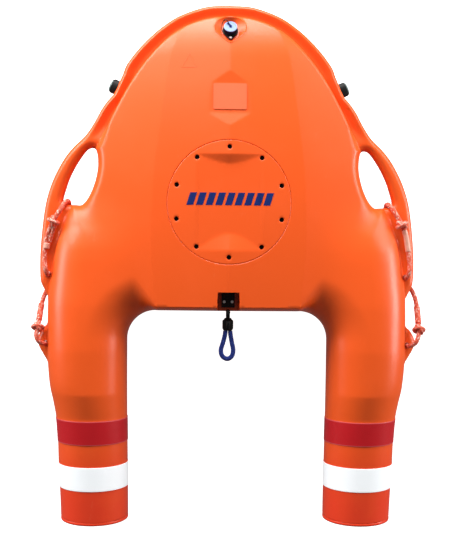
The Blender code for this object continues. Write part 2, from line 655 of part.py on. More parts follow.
turned("tow_ferrule", ferrule, BLACK, 24, frame_at((0, ferrule_y, pivot_z), (0, -1, 0)))
loop_y = ferrule_y - FERRULE_LONG - GAP
LOOP = [
    (-0.0056, 0.0), (-0.0056, -0.0030), (-0.0066, -0.0110), (-0.0105, -0.0270), (-0.0150, -0.0430),
    (-0.0120, -0.0565), (-0.0010, -0.0630), (0.0095, -0.0570), (0.0125, -0.0430), (0.0095, -0.0270),
    (0.0066, -0.0110), (0.0056, -0.0030), (0.0056, 0.0),
]
cord("tow_rope", [(x, loop_y + y, pivot_z) for x, y in LOOP], LOOP_ROPE, BLUE_ROPE, 3)


# The jets: a bored tunnel in each leg with its liner, nozzle, stator, impeller and motor
def leg_centre(y):
    centre, tube = leg_tube(np.array([y]))
    return float(centre[0]), float(tube[0])


def vanes(obj, label, count, inner, outer, low, high, twist, thick, place, paint):
    """Joins blades to a hub: each a thin twisted plate from the inner to the outer radius."""
    for k in range(count):
        turn = Matrix.Rotation(2 * math.pi * k / count, 4, "Z")
        vertices = []
        for z, lean in ((low, -twist), (0.5 * (low + high), 0.0), (high, twist)):
            for radius in (inner, outer):
                for side in (-thick / 2, thick / 2):
                    angle = lean + side / radius
                    vertices.append((radius * math.cos(angle), radius * math.sin(angle), z))
        faces = [(0, 1, 3, 2), (8, 9, 11, 10)]
        for base in (0, 4):
            for a, b in ((0, 1), (1, 3), (3, 2), (2, 0)):
                faces.append((base + a, base + b, base + b + 4, base + a + 4))
        blade = solid(f"{label}_blade_{k}", vertices, faces, paint)
        blade.matrix_world = place @ turn
        cut(obj, blade, "UNION")


def sleeve(name, sign, fore, aft, low, high, paint, sides=36, stations=2):
    """A closed band round the leg, from low to high above the tube's surface."""
    vertices, rings = [], []
    out_and_back = [(y, low) for y in np.linspace(fore, aft, stations)]
    out_and_back += [(y, high) for y in np.linspace(aft, fore, stations)]
    for y, lift in out_and_back:
        centre, tube = leg_centre(y)
        rings.append(range(len(vertices), len(vertices) + sides))
        for k in range(sides):
            a = 2 * math.pi * k / sides
            radius = tube + lift
            vertices.append((sign * centre + radius * math.cos(a), y, SEAM_Z + radius * math.sin(a)))
    faces = []
    for one, two in zip(rings, rings[1:] + rings[:1]):
        for k in range(sides):
            n = (k + 1) % sides
            faces.append((one[k], one[n], two[n], two[k]))
    return solid(name, vertices, faces, paint)


AXIS_X, NOZZLE_TUBE = leg_centre(LEG_END_Y)
BAND_Y = {"red_band": (-0.3560, -0.4095, RED_TAPE), "white_band": (-0.4585, -0.5115, WHITE_TAPE)}
for sign in (1, -1):
    def jet(y, sign=sign):
        return frame_at((sign * AXIS_X, y, SEAM_Z), (0, 1, 0))

    bore_long = TUNNEL_FRONT_Y - BORE_START_Y
    bore = [(0, 0), (DUCT_RADIUS + GAP, 0), (DUCT_RADIUS + GAP, bore_long), (0, bore_long)]
    bore = turned(mirror("bore_cutter", sign), bore, BLACK, 32, jet(BORE_START_Y))
    cut(hull_upper, bore)
    cut(hull_lower, bore)
    intake = box(mirror("intake_cutter", sign), (sign * AXIS_X - INTAKE_HALF, INTAKE_Y[0], -0.02),
                 (sign * AXIS_X + INTAKE_HALF, INTAKE_Y[1], 0.09), BLACK)
    cut(hull_lower, intake)
    inner = DUCT_RADIUS - DUCT_WALL
    long = DUCT_FRONT_Y - (LEG_END_Y + GAP)
    duct = [(DUCT_RADIUS, 0), (DUCT_RADIUS, long), (inner, long), (inner, 0)]
    turned(mirror("jet_duct", sign), duct, BLACK, 32, jet(LEG_END_Y + GAP))
    nozzle = [
        (NOZZLE_TUBE - 0.0015, 0), (NOZZLE_TUBE, 0.002), (NOZZLE_TUBE, 0.0067), (NOZZLE_HOLE, 0.0067),
        (NOZZLE_HOLE, 0),
    ]
    turned(mirror("nozzle_ring", sign), nozzle, ORANGE, 32, jet(STERN_Y))
    long = STATOR_Y[1] - STATOR_Y[0]
    hub = [
        (0, -0.012), (0.008, -0.010), (HUB_RADIUS - 0.002, 0.0), (HUB_RADIUS, 0.008), (HUB_RADIUS, long),
        (0, long),
    ]
    stator = turned(mirror("stator", sign), hub, BLACK, 20, jet(STATOR_Y[0]))
    ring = [(inner - GAP, 0), (inner - GAP, long), (0.0530, long), (0.0530, 0)]
    cut(stator, turned(mirror("stator_ring", sign), ring, BLACK, 32, jet(STATOR_Y[0])), "UNION")
    vanes(stator, mirror("stator", sign), 5, HUB_RADIUS - 0.002, 0.0540, 0.004, long - 0.004, 0.10, 0.003,
          jet(STATOR_Y[0]), BLACK)
    long = IMPELLER_Y[1] - IMPELLER_Y[0]
    hub = [
        (0, 0), (HUB_RADIUS, 0), (HUB_RADIUS, long), (SHAFT_RADIUS + 0.0005, long),
        (SHAFT_RADIUS + 0.0005, 0.006), (0, 0.006),
    ]
    impeller = turned(mirror("impeller", sign), hub, BLACK, 20, jet(IMPELLER_Y[0]))
    vanes(impeller, mirror("impeller", sign), 4, HUB_RADIUS - 0.002, IMPELLER_RADIUS, 0.003, long - 0.003,
          0.42, 0.0028, jet(IMPELLER_Y[0]), BLACK)
    front = TUNNEL_FRONT_Y - GAP
    low = IMPELLER_Y[0] + 0.0065
    motor = [
        (0, low), (SHAFT_RADIUS, low), (SHAFT_RADIUS, -0.440), (0.014, -0.438), (MOTOR_RADIUS, -0.415),
        (MOTOR_RADIUS, front), (0, front),
    ]
    turned(mirror("motor", sign), motor, STEEL, 20, jet(0))
    west, east = sign * AXIS_X - INTAKE_HALF, sign * AXIS_X + INTAKE_HALF
    bars = box(mirror("intake_grille", sign), (west + GAP, INTAKE_Y[0] + GAP, GRILLE_Z[0]),
               (east - GAP, INTAKE_Y[1] - GAP, GRILLE_Z[1]), BLACK)
    pitch = (2 * INTAKE_HALF - 0.008) / GRILLE_SLOTS
    for k in range(GRILLE_SLOTS):
        left = west + 0.004 + pitch * k
        cut(bars, box(mirror(f"slot_cutter_{k}", sign), (left + 0.0018, INTAKE_Y[0] + 0.006, 0.01),
                      (left + pitch - 0.0018, INTAKE_Y[1] - 0.006, 0.04), BLACK))
    for label, (fore, aft, paint) in BAND_Y.items():
        sleeve(mirror(label, sign), sign, fore, aft, 0.0006, 0.0014, paint)

# Grab ropes along the sides: over the hand hole's edge, down the flange, through its hole and
# into the ear's hole. Each has a knot on the flange and one over the ear.
ROPE_START = [
    (0.3685, 0.1268, 0.0775), (0.3675, 0.1340, 0.0880), (0.3680, 0.1365, 0.1000),
    (0.3700, 0.1340, 0.1130), (0.3755, 0.1250, 0.1230), (0.3835, 0.1100, 0.1290),
]
ROPE_END = [
    (0.4175, -0.1878, 0.1290), (0.4138, -0.1885, 0.1180), (0.4135, -0.1885, 0.1000),
    (0.4135, -0.1885, 0.0820),
]
ROPE_LEFT = [
    (0.3950, 0.0892, 0.1310), (0.4050, 0.0680, 0.1285), (0.4120, 0.0450, 0.1265),
    (0.4150, 0.0200, 0.1270), (0.4145, -0.0010, 0.1290), (0.4125, -0.0170, 0.1330),
    (0.4095, -0.0285, 0.1290), (0.4085, -0.0325, 0.1180), (0.4085, -0.0325, 0.1000),
    (0.4090, -0.0335, 0.0760), (0.4110, -0.0400, 0.0610), (0.4155, -0.0530, 0.0570),
    (0.4210, -0.0700, 0.0670), (0.4255, -0.0880, 0.0840), (0.4280, -0.1090, 0.0990),
    (0.4285, -0.1310, 0.1130), (0.4290, -0.1519, 0.1270), (0.4310, -0.1680, 0.1335),
    (0.4265, -0.1810, 0.1345),
]
ROPE_RIGHT = [
    (0.3965, 0.0860, 0.1310), (0.4050, 0.0650, 0.1285), (0.4095, 0.0400, 0.1275),
    (0.4125, 0.0180, 0.1290), (0.4145, -0.0020, 0.1315), (0.4130, -0.0170, 0.1360),
    (0.4095, -0.0290, 0.1315), (0.4085, -0.0328, 0.1180), (0.4085, -0.0325, 0.1000),
    (0.4095, -0.0335, 0.0760), (0.4150, -0.0390, 0.0620), (0.4265, -0.0500, 0.0590),
    (0.4365, -0.0660, 0.0670), (0.4405, -0.0860, 0.0830), (0.4405, -0.1090, 0.0985),
    (0.4395, -0.1340, 0.1130), (0.4380, -0.1540, 0.1270), (0.4345, -0.1690, 0.1335),
    (0.4275, -0.1815, 0.1345),
]
KNOT = [
    (0.0068, 0.006), (0.0100, 0.006), (0.0122, 0.003), (0.0122, -0.003), (0.0100, -0.006), (0.0068, -0.006),
]
KNOTS_AT = (0, 16)
for sign, route in ((-1, ROPE_LEFT), (1, ROPE_RIGHT)):
    for spot, label in ((FLANGE_HOLE, "flange_hole"), (EAR_HOLE, "ear_hole")):
        hole = [(0, 0.05), (ROPE_HOLE, 0.05), (ROPE_HOLE, 0.15), (0, 0.15)]
        hole = turned(mirror(label, sign), hole, BLACK, 12, Matrix.Translation((sign * spot[0], spot[1], 0)))
        cut(hull_upper, hole)
        cut(hull_lower, hole)
    whole = [Vector((sign * x, y, z)) for x, y, z in ROPE_START + route + ROPE_END]
    cord(mirror("grab_rope", sign), whole, ROPE, ORANGE_ROPE, 2)
    for number, spot in enumerate(KNOTS_AT):
        at = spot + len(ROPE_START)
        place = frame_at(whole[at], whole[at + 1] - whole[at - 1])
        turned(mirror(f"rope_knot_{number + 1}", sign), KNOT, ORANGE_ROPE, 14, place)
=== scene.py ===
"""Looks of a U-shaped, remotely steered rescue float: its finishes, ropes and fine shapes.

Metres, +Y to the bow, +X to the right, +Z up. The hull is a height field over its plan on each
side of the seam. The ropes are braided tubes along given routes.
"""

import math
import bmesh
import bpy
import numpy as np
from bpy.props import FloatProperty, FloatVectorProperty, PointerProperty
from mathutils import Matrix, Vector
from mathutils.geometry import delaunay_2d_cdt


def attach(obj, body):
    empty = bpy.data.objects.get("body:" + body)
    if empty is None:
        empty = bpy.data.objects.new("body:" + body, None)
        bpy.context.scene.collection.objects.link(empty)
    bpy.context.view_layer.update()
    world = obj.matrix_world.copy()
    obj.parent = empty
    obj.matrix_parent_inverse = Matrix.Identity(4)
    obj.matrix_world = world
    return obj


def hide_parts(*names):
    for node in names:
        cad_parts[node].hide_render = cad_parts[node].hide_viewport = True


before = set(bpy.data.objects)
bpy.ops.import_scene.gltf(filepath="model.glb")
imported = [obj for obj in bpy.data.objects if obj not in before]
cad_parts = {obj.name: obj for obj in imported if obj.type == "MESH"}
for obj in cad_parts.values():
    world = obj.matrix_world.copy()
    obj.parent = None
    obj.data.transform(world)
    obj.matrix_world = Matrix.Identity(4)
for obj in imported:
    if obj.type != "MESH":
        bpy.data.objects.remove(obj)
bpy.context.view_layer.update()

bl_info = {
    "name": "Rescue Float",
    "version": (1, 0, 0),
    "blender": (4, 5, 0),
    "location": "3D View > Sidebar > Float",
    "description": "Builds the looks of a remotely steered rescue float",
    "category": "Object",
}

# Main sizes of the hull
SEAM_Z = 0.100
RIDGE_RISE = 0.104
BELLY_DROP = 0.100
ROOF_SLOPE = 0.114
FACET_SLOPE = 0.27
BOW_FALL = 0.55
BOW_BEND = 1.8
BOW_BEND_Y = 0.46
STERN_Y = -0.5885
LEG_END_Y = -0.5815
EAR_END_Y = -0.262
CORE_END_Y = 0.055
CROTCH_Y = -0.112
CROTCH_RADIUS = 0.065
BOW_CORE_Y = 0.570
BRIDGE_START_Y = -0.19
BRIDGE_RUN = 0.12
LEG_FADE_Y = 0.02
LEG_FADE_RUN = 0.15
LEAST_RISE = 0.010
SIDE_ROUND = 0.022
BOW_ROUND = 0.007
CROTCH_ROUND = 0.012
RIM_RISE = 0.018
RIM_ROUND = 0.016
LIP_ROUND = 0.010
LIP_FALL = 0.0065
LIP_AT = 0.008
LIP_RUN = 0.018
JOIN_ROUND = 0.003
CHINE_ROUND = 0.0010
RIDGE_ROUND = 0.003
BOW_CURVE = 2.6
BORE_START_Y = -0.60
BORE_LENGTH = 0.365
# Where the rounding of the body's edge and the rim's lip change, and over what run
BOW_EDGE_Y = 0.25
BOW_EDGE_RUN = 0.07
LEG_EDGE_Y = 0.15
LEG_EDGE_RUN = 0.08
CROTCH_EDGE_X = 0.155
CROTCH_EDGE_RUN = 0.06
LIP_START_Y = 0.265
LIP_START_RUN = 0.05
LIP_HOLE = 0.010
LIP_HOLE_RUN = 0.02

# How close the hull's points lie: to the outline, to a line on the deck and to each other
BORDER_GAP = 0.00012
LINE_GAP = 0.0011
RING_GAP = 0.0009
GRID_REACH = (0.436, 0.59)

# Fittings
HATCH_Y = 0.1312
HATCH_RADIUS = 0.1375
HATCH_SCREW_RADIUS = 0.122
HATCH_SCREWS = 10
HATCH_SIDES = 150
HATCH_EDGE = 0.0016
HATCH_STEPS = (0.0, 0.0003, 0.0008, 0.0015, 0.0024)
SCREW_STEPS = (0.0068, 0.0060, 0.0054, 0.0052)
SEAT_STEPS = (0.0022, 0.0012, 0.0005, 0.0, -0.0004)
SEAT_LIP = 0.0016
SEAT_LIP_FALL = 0.0012
HATCH_FLAT = (0.0247, 0.2372)
RAMP_RUN = (0.031, 0.023)
RAMP_HALF = 0.0704
RAMP_BOW = 1.6
SEAT_Z = 0.158
STRIPE_Y = (0.1245, 0.1520)
STRIPE_BARS = 9
STRIPE_START = -0.0945
STRIPE_PITCH = 0.0212
STRIPE_WIDTH = 0.0150
STRIPE_LEAN = 0.0085
POCKET_FLOOR_Y = (0.3293, 0.3976)
POCKET_TIPS = (0.3006, 0.4258)
POCKET_HALVES = (0.0461, 0.0397)
POCKET_REACH = 0.06
PLATE_Y = (0.3372, 0.3960)
PLATE_HALF = 0.0369
PORT_ORIGIN = (0.0, 0.5200, 0.1405)
PORT_TILT = math.radians(26)
PORT_HALF = 0.0345
PORT_OVAL = 0.85
PORT_FLOOR = (0.0200, 0.0275)
PORT_CENTRE_Y = 0.5225
PORT_REACH = 0.06
PORT_RIM_LIFT = 0.018
PORT_STEPS = (0.0, 0.12, 0.26, 0.40, 0.54, 0.66, 0.77, 0.86, 0.93, 0.98)
PORT_LIP_STEPS = (0.0, 0.0006, 0.0014, 0.0023, 0.0033)
PORT_WALL = 1.1
PORT_LIP_RISE = 0.0015
PORT_LIP_AT = 0.0017
PORT_LIP_RUN = 0.0020
TOW_FLOOR = 0.148
TOW_FRONT_Y = -0.0674
TOW_HALF = 0.0234
TOW_MOUTH = 0.0263
TOW_STEPS = (0.0014, 0.0, -0.0006)
TOW_PIVOT_Y = -0.1115
TOW_HOLE = 0.0042
BRACKET_TOP = TOW_FLOOR + 0.018
FERRULE_Y = TOW_PIVOT_Y - 0.0143
FERRULE_LENGTH = 0.0285
LOOP_Z = TOW_FLOOR + 0.0047
LAMP = (0.2592, 0.3980)
LAMP_WAY = (0.91, 0.414)
LAMP_STRETCH = 1.32
LAMP_SEAT = 0.0128
DUCT_RADIUS = 0.0600
INTAKE_Y = (-0.344, -0.236)
INTAKE_HALF = 0.034
GAP = 0.0003

# Half outline of the rim, bow tip to the end of the side flange
RIM = [
    (0.000, 0.5885), (0.054, 0.5850), (0.1141, 0.5642), (0.1568, 0.5365), (0.1879, 0.5089),
    (0.2133, 0.4812), (0.2340, 0.4535), (0.2408, 0.4400), (0.2454, 0.4265), (0.2555, 0.4040),
    (0.2650, 0.3830), (0.2722, 0.3742), (0.2820, 0.3625), (0.2951, 0.3429), (0.3098, 0.3152),
    (0.3285, 0.2875), (0.3562, 0.2599), (0.3775, 0.2322),
    (0.3994, 0.1907), (0.4139, 0.1492), (0.4219, 0.1077), (0.4277, 0.0523), (0.4300, 0.0108),
    (0.4300, -0.0250), (0.4277, -0.0491), (0.4200, -0.0660), (0.4120, -0.0814),
]
# Half outline of the leg's outer side with the rope ear, flange end to the tube
EAR = [
    (0.4110, -0.1000), (0.4112, -0.1400), (0.4240, -0.1560), (0.4325, -0.1720),
    (0.4335, -0.1860), (0.4290, -0.2000), (0.4150, -0.2245), (0.4085, -0.2380),
]
# The leg tube seen from above: its outer and inner side at stations along the leg
LEG_OUT = [
    (0.130, 0.3700), (0.080, 0.3840), (0.022, 0.3970), (-0.048, 0.4060), (-0.100, 0.4105),
    (-0.200, 0.4105), (-0.243, 0.4085), (-0.285, 0.4040), (-0.321, 0.3960), (-0.360, 0.3890),
    (-0.410, 0.3850), (-0.460, 0.3831), (-0.584, 0.3765), (-0.700, 0.3765),
]
LEG_IN = [
    (0.130, 0.2295), (-0.177, 0.2295), (-0.321, 0.2286), (-0.460, 0.2259), (-0.584, 0.2241), (-0.700, 0.2241),
]
# Height of the leg's top over the seam, with the cone's crease, as straight runs
LEG_TOP = [
    (-0.700, 0.0762), (-0.584, 0.0762), (-0.460, 0.0786), (-0.410, 0.0793), (-0.352, 0.0813),
    (-0.298, 0.0905), (-0.200, 0.0885), (-0.100, 0.0820), (0.000, 0.0725), (0.100, 0.0600), (0.170, 0.0490),
]
# Half outline of the raised body, bow to the leg's outer side, by way of the hand hole
CORE = [
    (0.000, 0.5610), (0.040, 0.5585), (0.075, 0.5495), (0.1085, 0.5340), (0.1400, 0.5120),
    (0.1640, 0.4885), (0.1860, 0.4630), (0.2040, 0.4400), (0.2215, 0.4140), (0.2390, 0.3850),
    (0.2530, 0.3590), (0.2680, 0.3290), (0.2810, 0.3020), (0.2950, 0.2760), (0.3080, 0.2480),
    (0.3150, 0.2200), (0.3200, 0.1900), (0.3300, 0.1620), (0.3430, 0.1400), (0.3600, 0.1220),
    (0.3735, 0.1050), (0.3825, 0.0830), (0.3860, 0.0720),
]
HAND_HOLE = [
    (0.3159, 0.2575), (0.3285, 0.2480), (0.3481, 0.2184), (0.3631, 0.1880), (0.3724, 0.1600),
    (0.3775, 0.1400), (0.3730, 0.1300), (0.3500, 0.1275), (0.3340, 0.1290), (0.3182, 0.1492),
    (0.3050, 0.1840), (0.2995, 0.2200), (0.3040, 0.2530),
]
# Where the roof breaks into the side facets, from the crotch to the bow
CHINE = [
    (-0.112, 0.1600), (0.038, 0.1714), (0.184, 0.1680), (0.2700, 0.1597), (0.3320, 0.1520),
    (0.390, 0.1447), (0.430, 0.1385), (0.4715, 0.1307), (0.4995, 0.1207), (0.522, 0.1110),
    (0.545, 0.0990), (0.590, 0.0740),
]
FLANGE_HOLE = (0.4085, -0.0320)
EAR_HOLE = (0.4135, -0.1880)
ROPE_HOLE = 0.0068

# Braid: strands each way round, the length of a stitch, and the strands with pale flecks
CARRIERS = 8
STITCH = 0.0058
FLECKS = (1, 2, 5, 9, 12, 13)
# A knot's rope, half width and half height of its turn, and the turn's lean
KNOT_ROPE = 0.0094
KNOT_WIDE = 0.0108
KNOT_TALL = 0.0088
KNOT_LEAN = 0.16

# Ropes: diameter, and the points of each route, on the right side for the two grab ropes
ROPE = 0.0105
LOOP_ROPE = 0.0105
TETHER = 0.0018
ROPE_START = [
    (0.3685, 0.1268, 0.0775), (0.3675, 0.1340, 0.0880), (0.3680, 0.1365, 0.1000),
    (0.3700, 0.1340, 0.1130), (0.3755, 0.1250, 0.1230), (0.3835, 0.1100, 0.1290),
]
ROPE_END = [
    (0.4175, -0.1878, 0.1290), (0.4138, -0.1885, 0.1180), (0.4135, -0.1885, 0.1000),
    (0.4135, -0.1885, 0.0820),
]
ROPE_LEFT = [
    (0.3950, 0.0892, 0.1310), (0.4050, 0.0680, 0.1285), (0.4120, 0.0450, 0.1265),
    (0.4150, 0.0200, 0.1270), (0.4145, -0.0010, 0.1290), (0.4125, -0.0170, 0.1330),
    (0.4095, -0.0285, 0.1290), (0.4085, -0.0325, 0.1180), (0.4085, -0.0325, 0.1000),
    (0.4090, -0.0335, 0.0760), (0.4110, -0.0400, 0.0610), (0.4155, -0.0530, 0.0570),
    (0.4210, -0.0700, 0.0670), (0.4255, -0.0880, 0.0840), (0.4280, -0.1090, 0.0990),
    (0.4285, -0.1310, 0.1130), (0.4290, -0.1519, 0.1270), (0.4310, -0.1680, 0.1335),
    (0.4265, -0.1810, 0.1345),
]
ROPE_RIGHT = [
    (0.3965, 0.0860, 0.1310), (0.4050, 0.0650, 0.1285), (0.4095, 0.0400, 0.1275),
    (0.4125, 0.0180, 0.1290), (0.4145, -0.0020, 0.1315), (0.4130, -0.0170, 0.1360),
    (0.4095, -0.0290, 0.1315), (0.4085, -0.0328, 0.1180), (0.4085, -0.0325, 0.1000),
    (0.4095, -0.0335, 0.0760), (0.4150, -0.0390, 0.0620), (0.4265, -0.0500, 0.0590),
    (0.4365, -0.0660, 0.0670), (0.4405, -0.0860, 0.0830), (0.4405, -0.1090, 0.0985),
    (0.4395, -0.1340, 0.1130), (0.4380, -0.1540, 0.1270), (0.4345, -0.1690, 0.1335),
    (0.4275, -0.1815, 0.1345),
]
# The blue loop in plan, from the ferrule's end
LOOP = [
    (-0.0056, 0.0), (-0.0056, -0.0030), (-0.0066, -0.0110), (-0.0105, -0.0270), (-0.0150, -0.0430),
    (-0.0120, -0.0565), (-0.0010, -0.0630), (0.0095, -0.0570), (0.0125, -0.0430), (0.0095, -0.0270),
    (0.0066, -0.0110), (0.0056, -0.0030), (0.0056, 0.0),
]
# The cap's tether in the port's own frame, from the strap to the flange
TETHER_ROUTE = [
    (-0.0030, 0.0040, 0.0184), (-0.0046, 0.0075, 0.0200), (-0.0075, 0.0130, 0.0205),
    (-0.0130, 0.0165, 0.0185), (-0.0180, 0.0130, 0.0135), (-0.0195, 0.0040, 0.0090),
    (-0.0185, -0.0040, 0.0060), (-0.0155, -0.0095, 0.0052),
]

# Tape round the legs: its fore and aft edge, and its finish
BANDS = {
    "red_band": (-0.3560, -0.4095, "red_reflective_tape"),
    "white_band": (-0.4585, -0.5115, "white_reflective_tape"),
}
BAND_SIDES = 144
TAPE_PITCH = 0.0042

# Each finish, once made, by its name
FINISHES = {}

# Camera, fitted to the photograph
FOCAL_PIXELS = 865.2
IMAGE_HEIGHT = 545
SENSOR = 36.0
CAMERA_AT = (-0.0453, -0.0171, 2.0936)
CAMERA_AIM = (0.0075, -0.0240, SEAM_Z)

# Soft panels: azimuth from the bow to the right and angle from the vertical, width, height, power
LIGHT_REACH = 2.6
LIGHTS = {
    "left_bow_panel": (-42, 73, 1.8, 1.0, 62.0),
    "bow_panel": (0, 74, 1.4, 1.0, 60.0),
    "right_bow_panel": (55, 70, 1.6, 1.2, 28.0),
    "top_panel": (-15, 48, 1.4, 1.2, 13.0),
    "left_panel": (-80, 82, 1.2, 0.8, 24.0),
    "right_panel": (85, 82, 1.2, 0.8, 34.0),
}
FLOOR_HALF = 12.0
FLOOR_Z = -0.0006


# Curves and plans


def smooth_through(points, step, closed=False):
    """Points about one step apart on a Catmull-Rom curve through the given ones."""
    p = np.array(points, float)
    n = len(p)
    out = []
    for i in range(n if closed else n - 1):
        if closed:
            a, b, c, d = p[i - 1], p[i], p[(i + 1) % n], p[(i + 2) % n]
        else:
            a, b, c, d = p[max(i - 1, 0)], p[i], p[i + 1], p[min(i + 2, n - 1)]
        count = max(1, round(float(np.linalg.norm(c - b)) / step))
        t = (np.arange(count) / count)[:, None]
        square, cube = 2 * a - 5 * b + 4 * c - d, 3 * b - a - 3 * c + d
        out.append(0.5 * (2 * b + (c - a) * t + square * t**2 + cube * t**3))
    if not closed:
        out.append(p[-1:])
    return np.concatenate(out)


def along(table, y):
    """The value of a table of (y, value) stations at y, on a smooth curve."""
    fine = smooth_through(table, 0.002)
    order = np.argsort(fine[:, 0])
    return np.interp(y, fine[order, 0], fine[order, 1])


def smoothstep(t):
    """0 to 1, level at both ends."""
    t = np.clip(t, 0.0, 1.0)
    return t * t * (3 - 2 * t)


def smooth_max(a, b, k):
    """The larger value, with the corner rounded over k."""
    return np.maximum(a, b) + np.clip(k - np.abs(a - b), 0, None) ** 2 / (4 * k)


def straight(a, b, step):
    """Points from a towards b, without b."""
    a, b = np.array(a, float), np.array(b, float)
    count = max(1, round(float(np.linalg.norm(b - a)) / step))
    return a + (b - a) * (np.arange(count) / count)[:, None]


def resampled(corners, step, closed=True):
    """Points about one step apart on straight runs between corners."""
    pairs = zip(corners, corners[1:] + corners[:1] if closed else corners[1:])
    parts = [straight(a, b, step) for a, b in pairs]
    return np.concatenate(parts + ([] if closed else [[corners[-1]]]))


def crotch_side(step):
    """From the leg's end up its inner side, round the corner and along to the centreline."""
    centre = (LEG_IN[0][1] - CROTCH_RADIUS, CROTCH_Y - CROTCH_RADIUS)
    ys = np.linspace(LEG_END_Y, centre[1], max(2, round((centre[1] - LEG_END_Y) / step)))[:-1]
    up = np.stack([along(LEG_IN, ys), ys], axis=1)
    angles = np.linspace(0, math.pi / 2, max(4, round(CROTCH_RADIUS * math.pi / 2 / step * 1.5)) + 1)
    corner = CROTCH_RADIUS * np.stack([np.cos(angles), np.sin(angles)], axis=1) + centre
    edge = straight((centre[0], CROTCH_Y), (0, CROTCH_Y), step)[1:]
    return np.concatenate([up, corner, edge, [(0, CROTCH_Y)]])


def leg_outer(top_y, bottom_y, step):
    """Down the leg's outer side."""
    ys = np.linspace(top_y, bottom_y, max(2, round((top_y - bottom_y) / step)))
    return np.stack([along(LEG_OUT, ys), ys], axis=1)


def mirrored_loop(half):
    """A closed loop from its right half, which starts and ends on the centreline."""
    return np.concatenate([half, half[1:-1][::-1] * (-1, 1)])


def hull_outline(step):
    """The whole hull's edge in plan."""
    end = (float(along(LEG_OUT, LEG_END_Y)), LEG_END_Y)
    half = np.concatenate([
        smooth_through(RIM, step), smooth_through(EAR, step),
        leg_outer(EAR_END_Y, LEG_END_Y, step)[:-1],
        straight(end, (float(along(LEG_IN, LEG_END_Y)), LEG_END_Y), step),
        crotch_side(step),
    ])
    return mirrored_loop(half)


def core_outline(step):
    """The raised body's edge. It runs on past the legs' ends, which are cut flat."""
    far = LEG_END_Y - 0.2
    half = np.concatenate([
        smooth_through(CORE, step), leg_outer(CORE_END_Y, far, step),
        [(float(along(LEG_IN, far)), far)], crotch_side(step),
    ])
    return mirrored_loop(half)


def distance(points, loop, limit=0.12):
    """How far each point is from a closed loop's line, up to a limit."""
    order = np.argsort(points[:, 1])
    sorted_points = points[order]
    best = np.full(len(points), limit)
    for a, b in zip(loop, np.roll(loop, -1, axis=0)):
        low, high = min(a[1], b[1]) - limit, max(a[1], b[1]) + limit
        first, last = np.searchsorted(sorted_points[:, 1], (low, high))
        near = sorted_points[first:last]
        ab = b - a
        t = np.clip((near - a) @ ab / max(ab @ ab, 1e-12), 0, 1)
        away = near - (a + t[:, None] * ab)
        best[first:last] = np.minimum(best[first:last], np.hypot(away[:, 0], away[:, 1]))
    out = np.empty(len(points))
    out[order] = best
    return out


def inside(points, loop):
    """Whether each point lies inside a closed loop."""
    x, y = points[:, 0], points[:, 1]
    odd = np.zeros(len(points), bool)
    for (ax, ay), (bx, by) in zip(loop, np.roll(loop, -1, axis=0)):
        if ay != by:
            odd ^= ((ay > y) != (by > y)) & (x < (bx - ax) * (y - ay) / (by - ay) + ax)
    return odd


def ring_points(centre, radius, count):
    """Points on a circle in plan."""
    turn = np.linspace(0, 2 * math.pi, count, endpoint=False)
    return np.stack([centre[0] + radius * np.cos(turn), centre[1] + radius * np.sin(turn)], axis=1)


def arc(centre, radius, start, end, count):
    """Points on an arc, in degrees, both ends included."""
    angles = np.radians(np.linspace(start, end, count))
    return [(centre[0] + radius * math.cos(a), centre[1] + radius * math.sin(a)) for a in angles]


# The hull's height over and under its seam


def leg_tube(y):
    """(centre x, half width, top height) of the leg tube at y."""
    outer, inner = along(LEG_OUT, y), along(LEG_IN, y)
    top = np.array(LEG_TOP)
    return (outer + inner) / 2, (outer - inner) / 2, np.interp(y, top[:, 0], top[:, 1])


AXIS_X, LEG_TUBE_END = (float(v) for v in leg_tube(LEG_END_Y)[:2])


def roof(ax, y, upper, crisp=False):
    """The body's own height from the seam: the roof, and the sides that pass into the legs."""
    s = np.clip((y - CROTCH_Y) / (BOW_CORE_Y - CROTCH_Y), 0, 1)
    fall = 1 - BOW_FALL * s**BOW_CURVE
    bend = BOW_BEND * np.clip(y - BOW_BEND_Y, 0, None) ** 2
    chine = along(CHINE, y)
    slope = ROOF_SLOPE if upper else 0.0
    middle = (RIDGE_RISE if upper else BELLY_DROP) * fall - bend
    shoulder = middle - slope * chine
    out = np.clip(ax - chine, 0, None)
    centre, _, crest = leg_tube(y)
    span = centre - chine
    t = np.clip(out / span, 0, 1)
    bridge = shoulder - FACET_SLOPE * span * t * (1 - t) ** 2 + (crest - shoulder) * smoothstep(t)
    leg = crest + (bridge - crest) * smoothstep((y - BRIDGE_START_Y) / BRIDGE_RUN)
    facet = shoulder - FACET_SLOPE * out
    side = leg + (facet - leg) * smoothstep((y - LEG_FADE_Y) / LEG_FADE_RUN)
    run = ax if crisp else np.sqrt(ax**2 + RIDGE_ROUND**2) - RIDGE_ROUND * 0.4
    edge = np.clip(CHINE_ROUND - np.abs(ax - chine), 0, None) ** 2 / CHINE_ROUND * (FACET_SLOPE - slope) / 4
    return np.where(ax < chine, middle - slope * run, side) - edge


def roof_z(x, y):
    """Height of the deck's own surface over the floor."""
    return SEAM_Z + float(roof(np.array([abs(x)]), np.array([y]), True, crisp=True)[0])


def edge_round(ax, y):
    """How far in from the body's edge its rounding reaches."""
    half = leg_tube(y)[1]
    bow = (BOW_ROUND - SIDE_ROUND) * smoothstep((y - BOW_EDGE_Y) / BOW_EDGE_RUN)
    side = SIDE_ROUND + bow + (half - SIDE_ROUND) * smoothstep((LEG_EDGE_Y - y) / LEG_EDGE_RUN)
    off_crotch = smoothstep((ax - CROTCH_EDGE_X) / CROTCH_EDGE_RUN)
    return CROTCH_ROUND + (side - CROTCH_ROUND) * np.maximum(off_crotch, y > LEG_EDGE_Y)


